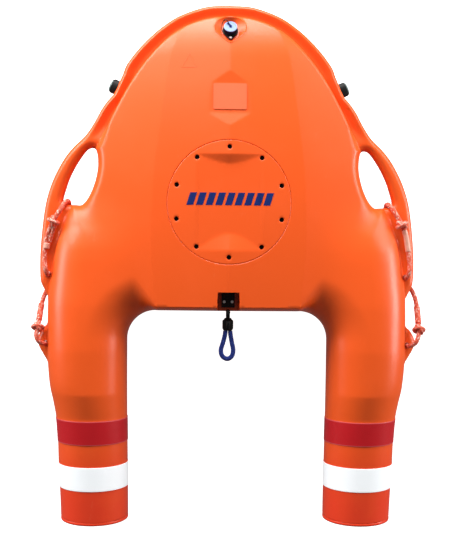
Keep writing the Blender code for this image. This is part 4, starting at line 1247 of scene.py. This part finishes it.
def finish(name):
    """A finish by its name, made when first used from the colours in the panel."""
    look = bpy.context.scene.rescue_float_look
    # The darker, redder orange of the hull's painted shade towards the legs' ends
    end_shade = tuple(look.orange_end_shade)
    makers = {
        "orange_polyethylene": lambda: moulded_orange(name, tuple(look.orange), end_shade, look.gloss),
        "hatch_orange": lambda: moulded_orange(name, tuple(look.hatch_orange), end_shade, look.gloss),
        "plate_orange": lambda: moulded_orange(name, tuple(look.plate_orange), end_shade, look.gloss),
        "black_plastic": lambda: moulded_plastic(name, (0.004, 0.004, 0.004), 0.42, 0.22),
        "hole_black": lambda: moulded_plastic(name, (0.004, 0.003, 0.003), 0.60, 0.10),
        "stripe_blue": lambda: moulded_plastic(name, tuple(look.stripe), 0.45, 0.15),
        # Paler copy of the cap's blue for its top face: painted reflection of the lights
        "anodised_painted_reflection": lambda: moulded_plastic(name, (0.24, 0.34, 0.56), 0.40, 0.25),
        "pale_sleeve": lambda: moulded_plastic(name, (0.84, 0.36, 0.27), 0.30),
        "battery_case": lambda: moulded_plastic(name, (0.10, 0.10, 0.11), 0.45),
        "stainless_steel": lambda: brushed_metal(name, (0.72, 0.72, 0.70), 0.22),
        "blue_anodised": lambda: brushed_metal(name, (0.030, 0.050, 0.170), 0.30),
        # The last number of each tape is the strength of its painted glow
        "red_reflective_tape": lambda: reflective_tape(
            name, tuple(look.red_tape), (0.55, 0.030, 0.035), BANDS["red_band"][:2], 0.03),
        "white_reflective_tape": lambda: reflective_tape(
            name, (0.93, 0.96, 0.98), (0.80, 0.84, 0.88), BANDS["white_band"][:2], 0.28),
        "orange_rope": lambda: rope_yarn(name, tuple(look.rope), (0.50, 0.055, 0.030), (0.92, 0.62, 0.52)),
        "blue_rope": lambda: rope_yarn(name, (0.022, 0.055, 0.36), (0.006, 0.012, 0.12), (0.07, 0.13, 0.50)),
        "lamp_lens": lambda: clear_lens(name, (0.30, 0.38, 0.37)),
    }
    if name not in FINISHES:
        FINISHES[name] = makers[name]()
    return FINISHES[name]


# The pieces


def lamp_place(sign):
    """Where a side lamp stands, stretched to its oval."""
    way = (sign * LAMP_WAY[0], LAMP_WAY[1], 0)
    return placed((sign * LAMP[0], LAMP[1], SEAM_Z), way) @ Matrix.Diagonal((LAMP_STRETCH, 1, 1, 1))


def build_hull(look):
    """The hull in one skin, with its bores, intakes and lamp seats cut."""
    skin = hull_skin(look.outline_step, look.grid_step)
    obj = make_object("hull", skin, None, finish("orange_polyethylene"), 30)
    tools = []
    for sign in (1, -1):
        bore, intake, seat = bmesh.new(), bmesh.new(), bmesh.new()
        middle = sign * AXIS_X
        along_leg = placed((middle, BORE_START_Y, SEAM_Z), (0, 1, 0))
        add_turned(bore, rod(DUCT_RADIUS + GAP, 0, BORE_LENGTH), 96, along_leg)
        window = oblong(middle - INTAKE_HALF, INTAKE_Y[0], middle + INTAKE_HALF, INTAKE_Y[1])
        add_prism(intake, window, -0.02, 0.09)
        add_turned(seat, rod(LAMP_SEAT, -0.012, 0.03), 48, lamp_place(sign))
        for name, form in (("bore", bore), ("intake", intake), ("lamp_seat", seat)):
            tools.append(linked(mirror(name, sign), mesh_of(mirror(name, sign), form)))
    cut_away(obj, tools)
    obj.data.shade_smooth()
    obj.data.set_sharp_from_angle(angle=math.radians(look.sharp))
    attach(obj, "hull")
    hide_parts("hull_upper", "hull_lower")


def hatch_screw_spots():
    """The ten screws' places in plan, from the fore one round."""
    angles = [math.radians(90 + 360 / HATCH_SCREWS * k) for k in range(HATCH_SCREWS)]
    return [(HATCH_SCREW_RADIUS * math.cos(a), HATCH_Y + HATCH_SCREW_RADIUS * math.sin(a)) for a in angles]


def build_hatch(look):
    """The round cover with its rounded edge, its screws down in their holes, and its stripe."""
    radius = HATCH_RADIUS - GAP
    rings = [ring_points((0, HATCH_Y), radius - step, HATCH_SIDES) for step in HATCH_STEPS]
    lines = [(ring, True) for ring in rings[1:]]
    for spot in hatch_screw_spots():
        lines += [(ring_points(spot, reach, 28), True) for reach in SCREW_STEPS]
    for chord, run, sign in zip(HATCH_FLAT, RAMP_RUN, (1, -1)):
        ramp = [(x, chord + sign * float(ramp_edge(x, run))) for x in np.linspace(-RAMP_HALF, RAMP_HALF, 41)]
        lines.append((resampled(ramp, look.grid_step), True))
    lines.append((straight((0, HATCH_Y - 0.13), (0, HATCH_Y + 0.13), look.grid_step), False))
    span = np.arange(-0.14, 0.14, look.grid_step)
    gx, gy = np.meshgrid(span, span + HATCH_Y)
    free = np.stack([gx.ravel(), gy.ravel()], axis=1)
    keep = np.hypot(free[:, 0], free[:, 1] - HATCH_Y) < radius - 0.004
    keep &= clear_of(free, lines, 0.0012)
    points, faces, count = triangulated([rings[0]], lines, free[keep])
    z = hatch_height(points[:, 0], points[:, 1])
    from_edge = radius - np.hypot(points[:, 0], points[:, 1] - HATCH_Y)
    edge = np.clip(1 - from_edge / HATCH_EDGE, 0, 1)
    z = z - HATCH_EDGE * (1 - np.sqrt(np.clip(1 - edge**2, 0, 1)))
    for spot in hatch_screw_spots():
        away = np.hypot(points[:, 0] - spot[0], points[:, 1] - spot[1])
        rim = 0.0006 * np.clip((0.0066 - away) / 0.0012, 0, 1)
        z = z - np.where(away < 0.0053, 0.0068, rim)
    top = [(x, y, h) for (x, y), h in zip(points, z)]
    bottom = [(x, y, SEAT_Z + GAP) for x, y in points[:count]]
    n = len(top)
    skin = [tuple(face) for face in faces] + [tuple(range(n, n + count))]
    skin += [(i, (i + 1) % count, (i + 1) % count + n, i + n) for i in range(count)]
    mesh = mesh_from("hatch_cover_shell", top + bottom, skin)
    obj = make_object("hatch_cover_shell", mesh, "hull", finish("hatch_orange"), 30)
    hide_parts("hatch_cover")
    head = [(0, 0.0), (0.0047, 0.0), (0.0047, 0.0026), (0.0042, 0.0032), (0.0024, 0.0032), (0.0022, 0.0012),
            (0, 0.0012)]
    form = bmesh.new()
    for x, y in hatch_screw_spots():
        level = float(hatch_height(np.array([x]), np.array([y]))[0])
        add_turned(form, head, 36, Matrix.Translation((x, y, level - 0.0066)))
    piece("hatch_screws", form, "hole_black", smooth_angle=35)
    build_stripe()


def build_stripe():
    """A plain stripe of slanted bars let into the hatch's face."""
    low, high = STRIPE_Y
    form = bmesh.new()
    for k in range(STRIPE_BARS):
        edges = []
        for rise in (0.0005, -0.0006):
            sheet = []
            for y in np.linspace(low, high, 21):
                xs = STRIPE_START + STRIPE_PITCH * k + STRIPE_LEAN * (y - low) / (high - low)
                xs = xs + np.linspace(0, STRIPE_WIDTH, 15)
                zs = hatch_height(xs, np.full_like(xs, y)) + rise
                sheet.append([form.verts.new((x, y, z)) for x, z in zip(xs, zs)])
            for fore, aft in zip(sheet, sheet[1:]):
                for i in range(len(fore) - 1):
                    form.faces.new((fore[i], fore[i + 1], aft[i + 1], aft[i]))
            right = [row[-1] for row in sheet[1:-1]]
            left = [row[0] for row in sheet[-2:0:-1]]
            edges.append(sheet[0] + right + sheet[-1][::-1] + left)
        join_rings(form, edges)
    piece("hatch_stripe", form, "stripe_blue", smooth_angle=30)


def build_deck_plate():
    """The blank plate with rounded corners in the pocket."""
    rise = POCKET_LINE[2][1] - POCKET_LINE[1][1]
    run = POCKET_FLOOR_Y[1] - POCKET_FLOOR_Y[0]
    middle = 0.5 * (PLATE_Y[0] + PLATE_Y[1])
    z = POCKET_LINE[1][1] + rise * (middle - POCKET_FLOOR_Y[0]) / run
    place = Matrix.Translation((0, middle, z)) @ Matrix.Rotation(math.atan2(rise, run), 4, "X")
    half, side, corner = 0.5 * (PLATE_Y[1] - PLATE_Y[0]), PLATE_HALF, 0.003
    outline = []
    for cx, cy, start in ((side, half, 0), (-side, half, 90), (-side, -half, 180), (side, -half, 270)):
        centre = (cx - math.copysign(corner, cx), cy - math.copysign(corner, cy))
        outline += arc(centre, corner, start, start + 90, 6)
    form = bmesh.new()
    add_prism(form, outline, GAP, 0.0015, place, 0.0004)
    piece("deck_plate_face", form, "plate_orange", "deck_plate", smooth_angle=30)


def build_port():
    """The charging port: its flange and screws, the ribbed cap with its strap, and the tether."""
    flange = arc((0, 0), 0.0175, -35, 35, 12) + arc((0, 0.0215), 0.0045, 50, 130, 8)
    flange += arc((0, 0), 0.0175, 145, 215, 12) + arc((0, -0.0215), 0.0045, 230, 310, 8)
    ring = [(0.0152, 0.0040), (0.0166, 0.0040), (0.0166, 0.0052), (0.0160, 0.0058), (0.0152, 0.0058)]
    form = bmesh.new()
    add_prism(form, flange, GAP, 0.0040, PORT_FRAME, 0.0005)
    add_turned(form, ring, 48, PORT_FRAME)
    piece("port_flange_moulding", form, "black_plastic", "port_flange")
    head = [(0, 0.0036), (0.0030, 0.0040), (0.0030, 0.0048), (0.0022, 0.0058), (0, 0.0061)]
    form = bmesh.new()
    for y in (0.0208, -0.0208):
        add_turned(form, head, 28, PORT_FRAME @ Matrix.Translation((0, y, 0)))
    piece("port_screws", form, "stainless_steel")
    side = [(0, 0.0043), (0.0146, 0.0043), (0.0149, 0.0050), (0.0149, 0.0146), (0.0145, 0.0152), (0, 0.0152)]
    form = bmesh.new()
    add_turned(form, side, 180, PORT_FRAME, 45, 0.0007)
    piece("port_cap_turned", form, "blue_anodised", "port_cap", smooth_angle=35)
    # The cap's top face is a paler blue than its ribbed side: painted reflection of the lights on the flat
    # top
    top = [(0, 0.0150), (0.0146, 0.0150), (0.0149, 0.0154), (0.0149, 0.0160), (0.0142, 0.0166),
           (0.0112, 0.0166), (0.0107, 0.0162), (0, 0.0162)]
    form = bmesh.new()
    add_turned(form, top, 96, PORT_FRAME)
    piece("port_cap_face", form, "anodised_painted_reflection", smooth_angle=35)
    knob = [(0, 0.0158), (0.0030, 0.0158), (0.0030, 0.0176), (0.0024, 0.0182), (0, 0.0184)]
    strap = [(0.0016, -0.0016), (0.0016, 0.0016), (-0.0052, 0.0098), (-0.0080, 0.0074)]
    form = bmesh.new()
    add_turned(form, knob, 32, PORT_FRAME)
    add_prism(form, strap, 0.0168, 0.0190, PORT_FRAME, 0.0006)
    piece("port_cap_strap", form, "stripe_blue", smooth_angle=35)
    line = smooth_through([PORT_FRAME @ Vector(p) for p in TETHER_ROUTE], 0.0004)
    form = bmesh.new()
    add_tube(form, line, tether_radius, 20)
    tether = piece("cap_tether_cord", form, "black_plastic", "cap_tether", smooth_angle=60)


def tether_radius(run, turn):
    """The tether's radius, with the ridges of its lay."""
    return TETHER / 2 * (0.94 + 0.08 * np.abs(np.sin(run / 0.0011 * math.pi + turn * 2)))


def build_lamps():
    """The two oval side lamps, each a black base with a clear dome."""
    base = [(0, -0.0117), (0.0125, -0.0117), (0.0125, 0.0092), (0.0122, 0.0103), (0.0114, 0.0110),
            (0, 0.0111)]
    angles = np.linspace(0.12, math.pi / 2 - 0.1, 10)
    dome = [(0, 0.0114), (0.0108, 0.0114), (0.0112, 0.0120)]
    dome += [(0.0112 * math.cos(a), 0.0120 + 0.0042 * math.sin(a)) for a in angles] + [(0, 0.0162)]
    for sign in (1, -1):
        form = bmesh.new()
        add_turned(form, base, 64, lamp_place(sign))
        piece(mirror("lamp_base_moulding", sign), form, "black_plastic", mirror("lamp_base", sign))
        form = bmesh.new()
        add_turned(form, dome, 64, lamp_place(sign))
        piece(mirror("lamp_dome", sign), form, "lamp_lens", mirror("lamp_lens", sign))


def build_tow_fitting():
    """The bracket with its tongue and screws, the fork's finish, and the fluted ferrule."""
    block = oblong(-0.0145, -0.1020, 0.0145, -0.0690)
    tongue = [(-0.0130, -0.0990)] + arc((0, -0.1060), 0.0130, 180, 360, 25) + [(0.0130, -0.0990)]
    form, hole = bmesh.new(), bmesh.new()
    add_prism(form, block, TOW_FLOOR + GAP, BRACKET_TOP, None, 0.0016)
    add_prism(form, tongue, TOW_FLOOR + 0.0022, TOW_FLOOR + 0.0072, None, 0.0010)
    add_turned(hole, rod(TOW_HOLE, 0.14, 0.2), 40, Matrix.Translation((0, TOW_PIVOT_Y, 0)))
    holes = [linked("tow_hole", mesh_of("tow_hole", hole))]
    piece("tow_bracket_moulding", form, "black_plastic", "tow_bracket", holes=holes)
    head = [(0, -0.002), (0.0036, -0.002), (0.0036, 0.0014), (0.0029, 0.0022), (0.0016, 0.0022),
            (0.0014, 0.0008), (0, 0.0008)]
    form = bmesh.new()
    for x in (-0.0088, 0.0088):
        add_turned(form, head, 32, Matrix.Translation((x, -0.0890, BRACKET_TOP)))
    piece("tow_screws", form, "stainless_steel")
    dress("tow_fork", "black_plastic")
    profile = [(0, 0), (0.0072, 0.0), (0.0078, 0.0006), (0.0082, 0.0022), (0.0112, 0.0050), (0.0122, 0.0060),
               (0.0125, 0.0074), (0.0125, 0.0226), (0.0121, 0.0240), (0.0104, 0.0272), (0.0094, 0.0283),
               (0, FERRULE_LENGTH)]
    form = bmesh.new()
    add_turned(form, profile, 120, placed((0, FERRULE_Y, LOOP_Z), (0, -1, 0)), 20, 0.0010)
    piece("tow_ferrule_moulding", form, "black_plastic", "tow_ferrule", "tow_loop", 35)


def build_tow_rope():
    """The blue loop from the ferrule round and back into it."""
    start_y = FERRULE_Y - FERRULE_LENGTH - GAP
    route = [(x, start_y + y, LOOP_Z) for x, y in LOOP]
    rope, path, length = braided("tow_rope_braid", route, LOOP_ROPE, "blue_rope", "tow_rope", "tow_loop",
                                 (2, 6), 0.0006, 48)


def build_grab_ropes():
    """The two side ropes with their knots, splices, whipping and sleeve."""
    for sign, stretch in ((-1, ROPE_LEFT), (1, ROPE_RIGHT)):
        whole = [(sign * x, y, z) for x, y, z in ROPE_START + stretch + ROPE_END]
        name = mirror("grab_rope_braid", sign)
        rope, path, length = braided(name, whole, ROPE, "orange_rope", mirror("grab_rope", sign))
        fine = smooth_through(path, 0.001)
        deck = fine[(fine[:, 2] > 0.105) & (fine[:, 1] > -0.03)]
        ear = fine[fine[:, 1] < -0.06]
        inward_shift = np.array([-sign * 0.0088, 0.0, 0.0006])
        doubled = [tuple(p + inward_shift) for p in deck[::6] if 0.036 < p[1] < 0.084]
        knots = [("1", deck, 0.0880, doubled if sign < 0 else None), ("2", ear, -0.1510, None)]
        for number, run, y, tail in knots:
            at = int(np.argmin(np.abs(run[:, 1] - y)))
            name = mirror(f"grab_rope_knot_{number}", sign)
            knot(name, run, at, mirror(f"rope_knot_{number}", sign), tail)
        if sign < 0:
            run = stretch_of(deck, 0.026, 0.040) + inward_shift * 0.35
            smooth_sleeve("rope_whipping_left", run, ROPE * 0.72, "pale_sleeve")
        else:
            run = stretch_of(deck, 0.026, 0.076)
            smooth_sleeve("rope_sleeve_right", run, ROPE * 0.60, "pale_sleeve")
        splice = stretch_of(ear, -0.139, -0.100)[::5]
        braided(mirror("rope_splice", sign), splice, ROPE * 1.32, "orange_rope")[0]


def stretch_of(line, aft, fore):
    """The part of a line between two places along the float."""
    return line[(line[:, 1] > aft) & (line[:, 1] < fore)]


def build_mark():
    """A plain moulded triangle on the deck beside the bow."""
    corners = [(-0.1097, 0.4323), (-0.0719, 0.4329), (-0.0900, 0.4682)]
    middle = np.mean(corners, axis=0)
    rings = []
    for reach, lift in ((1.0, -0.0004), (0.97, 0.0005), (0.80, 0.0005), (0.76, -0.0002)):
        line = resampled([tuple(middle + (np.array(c) - middle) * reach) for c in corners], 0.002)
        rings.append([(x, y, roof_z(x, y) + lift) for x, y in line])
    count = min(len(ring) for ring in rings)
    rings = [[ring[round(k * len(ring) / count) % len(ring)] for k in range(count)] for ring in rings]
    form = bmesh.new()
    join_rings(form, [[form.verts.new(p) for p in ring] for ring in rings], closed=True)
    piece("deck_triangle", form, "orange_polyethylene", smooth_angle=30)


def build_bands():
    """Tape wound round each leg, a little proud of the tube, with rolled edges."""
    for label, (fore, aft, tape) in BANDS.items():
        lifts = [(fore, 0.0003), (fore, 0.0007), (fore - 0.0003, 0.0009)]
        lifts += [(y, 0.0009) for y in np.linspace(fore - 0.002, aft + 0.002, 14)]
        lifts += [(aft + 0.0003, 0.0009), (aft, 0.0007), (aft, 0.0003)]
        lifts += [(y, 0.0003) for y in np.linspace(aft, fore, 14)[1:-1]]
        turn = [2 * math.pi * k / BAND_SIDES for k in range(BAND_SIDES)]
        for sign in (1, -1):
            form = bmesh.new()
            rings = []
            for y, lift in lifts:
                centre, half, top = (float(v) for v in leg_tube(y))
                wide, tall = half + lift, top + lift
                ring = [(sign * centre + wide * math.cos(a), y, SEAM_Z + tall * math.sin(a)) for a in turn]
                rings.append([form.verts.new(p) for p in ring])
            join_rings(form, rings, closed=True)
            piece(mirror(label + "_tape", sign), form, tape, mirror(label, sign))


def build_jets():
    """The nozzle rings, and the finishes of the ducts, stators, impellers, grilles and motors."""
    outer = LEG_TUBE_END
    ring = [(0.0500, 0.0060), (0.0500, 0.0020), (0.0506, 0.0006), (0.0520, 0.0), (outer - 0.0030, 0.0),
            (outer - 0.0018, 0.0001), (outer - 0.0006, 0.0008), (outer, 0.0022), (outer, 0.0062),
            (outer - 0.0004, 0.0067), (0.0506, 0.0067)]
    for sign in (1, -1):
        form = bmesh.new()
        add_turned(form, ring, 128, placed((sign * AXIS_X, STERN_Y, SEAM_Z), (0, 1, 0)))
        piece(mirror("nozzle_ring_turned", sign), form, "orange_polyethylene", mirror("nozzle_ring", sign))
        for node in ("jet_duct", "stator", "impeller", "intake_grille"):
            dress(mirror(node, sign), "black_plastic")
        dress(mirror("motor", sign), "stainless_steel")


def build_battery():
    """The battery's finish."""
    dress("battery_pack", "battery_case")


# Camera, lights and floor


def build_camera(look):
    """The camera at the photograph's viewing angle."""
    ahead = (Vector(CAMERA_AIM) - Vector(CAMERA_AT)).normalized()
    right = ahead.cross(Vector((0, 1, 0))).normalized()
    up = right.cross(ahead)
    top = up * math.cos(look.camera_roll) - right * math.sin(look.camera_roll)
    side = ahead.cross(top)
    data = bpy.data.cameras.new("photo_camera")
    data.sensor_width = SENSOR
    data.sensor_fit = "AUTO"
    data.lens = SENSOR * FOCAL_PIXELS / IMAGE_HEIGHT
    data.clip_start = 0.05
    camera = linked("photo_camera", data)
    camera.matrix_world = Matrix.Translation(CAMERA_AT) @ Matrix((side, top, -ahead)).transposed().to_4x4()
    bpy.context.scene.camera = camera


def soft_light(name, azimuth, polar_angle, width, height, power):
    """A soft panel that faces the float's middle."""
    a, p = math.radians(azimuth), math.radians(polar_angle)
    way = Vector((math.sin(a) * math.sin(p), math.cos(a) * math.sin(p), math.cos(p)))
    data = bpy.data.lights.new(name, "AREA")
    data.shape = "RECTANGLE"
    data.size = width
    data.size_y = height
    data.energy = power
    linked(name, data).matrix_world = placed(Vector((0, 0, SEAM_Z)) + LIGHT_REACH * way, way)


def build_stage(look):
    """The camera, the white room, its soft panels and the pale floor."""
    build_camera(look)
    world = bpy.data.worlds.new("white_room")
    world.use_nodes = True
    backdrop = world.node_tree.nodes["Background"]
    backdrop.inputs["Color"].default_value = (1, 1, 1, 1)
    backdrop.inputs["Strength"].default_value = look.room_light
    bpy.context.scene.world = world
    bpy.context.scene.view_settings.view_transform = "Standard"
    corners = [(x, y, FLOOR_Z) for x, y in oblong(-FLOOR_HALF, -FLOOR_HALF, FLOOR_HALF, FLOOR_HALF)]
    floor = make_object("studio_floor", mesh_from("studio_floor", corners, [(0, 1, 2, 3)]), None, None)
    paint = Paint("white_floor", roughness=0.9, emission_color=(1, 1, 1), emission_strength=look.floor_glow)
    paint.set(base_color=paint.mix(paint.noise(2.0, 2), (0.80, 0.80, 0.80), (0.82, 0.82, 0.82)))
    floor.data.materials.append(paint.material)
    floor.visible_diffuse = False
    floor.visible_glossy = False
    for name, (azimuth, angle, width, height, power) in LIGHTS.items():
        soft_light(name, azimuth, angle, width, height, power * look.panel_light)


# Settings, operators and panel


def colour(name, about, default):
    """A colour setting."""
    return FloatVectorProperty(name=name, description=about, subtype="COLOR", default=default)


class RescueFloatLook(bpy.types.PropertyGroup):
    """Sizes, colours and lights that a user would change"""

    outline_step: FloatProperty(
        name="Outline step", description="Distance between points on the hull's edges", default=0.0045,
        unit="LENGTH")
    grid_step: FloatProperty(
        name="Grid step", description="Distance between points on the hull's faces", default=0.0042,
        unit="LENGTH")
    sharp: FloatProperty(
        name="Crease angle", description="Angle in degrees from which a hull edge is shaded as a crease",
        default=30.0)
    gloss: FloatProperty(
        name="Roughness", description="Roughness of the moulded orange", default=0.30, subtype="FACTOR")
    orange: colour("Orange", "Colour of the hull", (0.93, 0.108, 0.012))
    # Painted shade: the hull turns to this darker, redder orange towards the legs' ends, where the light
    # falls off
    orange_end_shade: colour("Deep orange", "Colour of the hull towards the legs' ends", (0.92, 0.040, 0.018))
    hatch_orange: colour("Hatch orange", "Colour of the hatch", (0.93, 0.108, 0.013))
    plate_orange: colour("Plate orange", "Colour of the deck plate", (0.92, 0.150, 0.054))
    red_tape: colour("Red tape", "Colour of the red bands", (0.55, 0.008, 0.014))
    rope: colour("Rope", "Colour of the grab ropes", (0.86, 0.150, 0.075))
    stripe: colour("Stripe", "Colour of the hatch's stripe", (0.006, 0.020, 0.130))
    camera_roll: FloatProperty(
        name="Camera roll", description="Turn of the camera about its line of sight",
        default=math.radians(0.523), subtype="ANGLE")
    room_light: FloatProperty(
        name="Room light", description="Strength of the white room", default=0.15)
    floor_glow: FloatProperty(
        name="Floor glow", description="Strength of the floor's own light", default=1.10)
    panel_light: FloatProperty(
        name="Panels", description="Share of the soft panels' full power", default=1.0)


class RESCUE_FLOAT_OT_stage(bpy.types.Operator):
    """Set up the camera, the white room, its lights and the floor"""

    bl_idname = "rescue_float.stage"
    bl_label = "Stage"
    bl_options = {"REGISTER", "UNDO"}

    def execute(self, context):
        build_stage(context.scene.rescue_float_look)
        return {"FINISHED"}


class RESCUE_FLOAT_OT_grab_ropes(bpy.types.Operator):
    """Braid the two side ropes with their knots and sleeves"""

    bl_idname = "rescue_float.grab_ropes"
    bl_label = "Grab ropes"
    bl_options = {"REGISTER", "UNDO"}

    def execute(self, context):
        build_grab_ropes()
        return {"FINISHED"}


class RESCUE_FLOAT_OT_tow_rope(bpy.types.Operator):
    """Braid the blue loop at the crotch"""

    bl_idname = "rescue_float.tow_rope"
    bl_label = "Tow rope"
    bl_options = {"REGISTER", "UNDO"}

    def execute(self, context):
        build_tow_rope()
        return {"FINISHED"}


class RESCUE_FLOAT_OT_port(bpy.types.Operator):
    """Build the flange, cap, screws and tether in the bow"""

    bl_idname = "rescue_float.port"
    bl_label = "Charging port"
    bl_options = {"REGISTER", "UNDO"}

    def execute(self, context):
        build_port()
        return {"FINISHED"}


class RESCUE_FLOAT_OT_hull(bpy.types.Operator):
    """Mould the hull with its rim, chines, recesses and bores"""

    bl_idname = "rescue_float.hull"
    bl_label = "Hull"
    bl_options = {"REGISTER", "UNDO"}

    def execute(self, context):
        build_hull(context.scene.rescue_float_look)
        return {"FINISHED"}


class RESCUE_FLOAT_OT_hatch(bpy.types.Operator):
    """Build the round hatch with its screws and stripe"""

    bl_idname = "rescue_float.hatch"
    bl_label = "Hatch"
    bl_options = {"REGISTER", "UNDO"}

    def execute(self, context):
        build_hatch(context.scene.rescue_float_look)
        return {"FINISHED"}


class RESCUE_FLOAT_OT_deck_plate(bpy.types.Operator):
    """Lay the blank plate in the pocket"""

    bl_idname = "rescue_float.deck_plate"
    bl_label = "Deck plate"
    bl_options = {"REGISTER", "UNDO"}

    def execute(self, context):
        build_deck_plate()
        return {"FINISHED"}


class RESCUE_FLOAT_OT_mark(bpy.types.Operator):
    """Raise the plain triangle on the deck"""

    bl_idname = "rescue_float.mark"
    bl_label = "Deck mark"
    bl_options = {"REGISTER", "UNDO"}

    def execute(self, context):
        build_mark()
        return {"FINISHED"}


class RESCUE_FLOAT_OT_lamps(bpy.types.Operator):
    """Build the two side lamps"""

    bl_idname = "rescue_float.lamps"
    bl_label = "Side lamps"
    bl_options = {"REGISTER", "UNDO"}

    def execute(self, context):
        build_lamps()
        return {"FINISHED"}


class RESCUE_FLOAT_OT_tow_fitting(bpy.types.Operator):
    """Build the bracket, screws and ferrule of the tow loop"""

    bl_idname = "rescue_float.tow_fitting"
    bl_label = "Tow fitting"
    bl_options = {"REGISTER", "UNDO"}

    def execute(self, context):
        build_tow_fitting()
        return {"FINISHED"}


class RESCUE_FLOAT_OT_bands(bpy.types.Operator):
    """Wind the red and white tape round the legs"""

    bl_idname = "rescue_float.bands"
    bl_label = "Reflective bands"
    bl_options = {"REGISTER", "UNDO"}

    def execute(self, context):
        build_bands()
        return {"FINISHED"}


class RESCUE_FLOAT_OT_jets(bpy.types.Operator):
    """Finish the nozzles, ducts, stators, impellers and motors"""

    bl_idname = "rescue_float.jets"
    bl_label = "Jets"
    bl_options = {"REGISTER", "UNDO"}

    def execute(self, context):
        build_jets()
        return {"FINISHED"}


class RESCUE_FLOAT_OT_battery(bpy.types.Operator):
    """Finish the battery under the hatch"""

    bl_idname = "rescue_float.battery"
    bl_label = "Battery"
    bl_options = {"REGISTER", "UNDO"}

    def execute(self, context):
        build_battery()
        return {"FINISHED"}


OPERATORS = [
    RESCUE_FLOAT_OT_stage,
    RESCUE_FLOAT_OT_grab_ropes,
    RESCUE_FLOAT_OT_tow_rope,
    RESCUE_FLOAT_OT_port,
    RESCUE_FLOAT_OT_hull,
    RESCUE_FLOAT_OT_hatch,
    RESCUE_FLOAT_OT_deck_plate,
    RESCUE_FLOAT_OT_mark,
    RESCUE_FLOAT_OT_lamps,
    RESCUE_FLOAT_OT_tow_fitting,
    RESCUE_FLOAT_OT_bands,
    RESCUE_FLOAT_OT_jets,
    RESCUE_FLOAT_OT_battery,
]


class RESCUE_FLOAT_PT_panel(bpy.types.Panel):
    """Lists the float's builders and settings"""

    bl_label = "Rescue Float"
    bl_idname = "RESCUE_FLOAT_PT_panel"
    bl_space_type = "VIEW_3D"
    bl_region_type = "UI"
    bl_category = "Float"

    def draw(self, context):
        look = context.scene.rescue_float_look
        for name in look.bl_rna.properties.keys():
            if name not in ("rna_type", "name"):
                self.layout.prop(look, name)
        for made in OPERATORS:
            self.layout.operator(made.bl_idname)


def register():
    bpy.utils.register_class(RescueFloatLook)
    bpy.types.Scene.rescue_float_look = PointerProperty(type=RescueFloatLook)
    for made in OPERATORS + [RESCUE_FLOAT_PT_panel]:
        bpy.utils.register_class(made)


def unregister():
    for made in [RESCUE_FLOAT_PT_panel] + OPERATORS[::-1]:
        bpy.utils.unregister_class(made)
    del bpy.types.Scene.rescue_float_look
    bpy.utils.unregister_class(RescueFloatLook)


def main():
    """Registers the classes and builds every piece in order."""
    register()
    for made in OPERATORS:
        group, name = made.bl_idname.split(".")
        getattr(getattr(bpy.ops, group), name)()


if __name__ == "__main__":
    main()
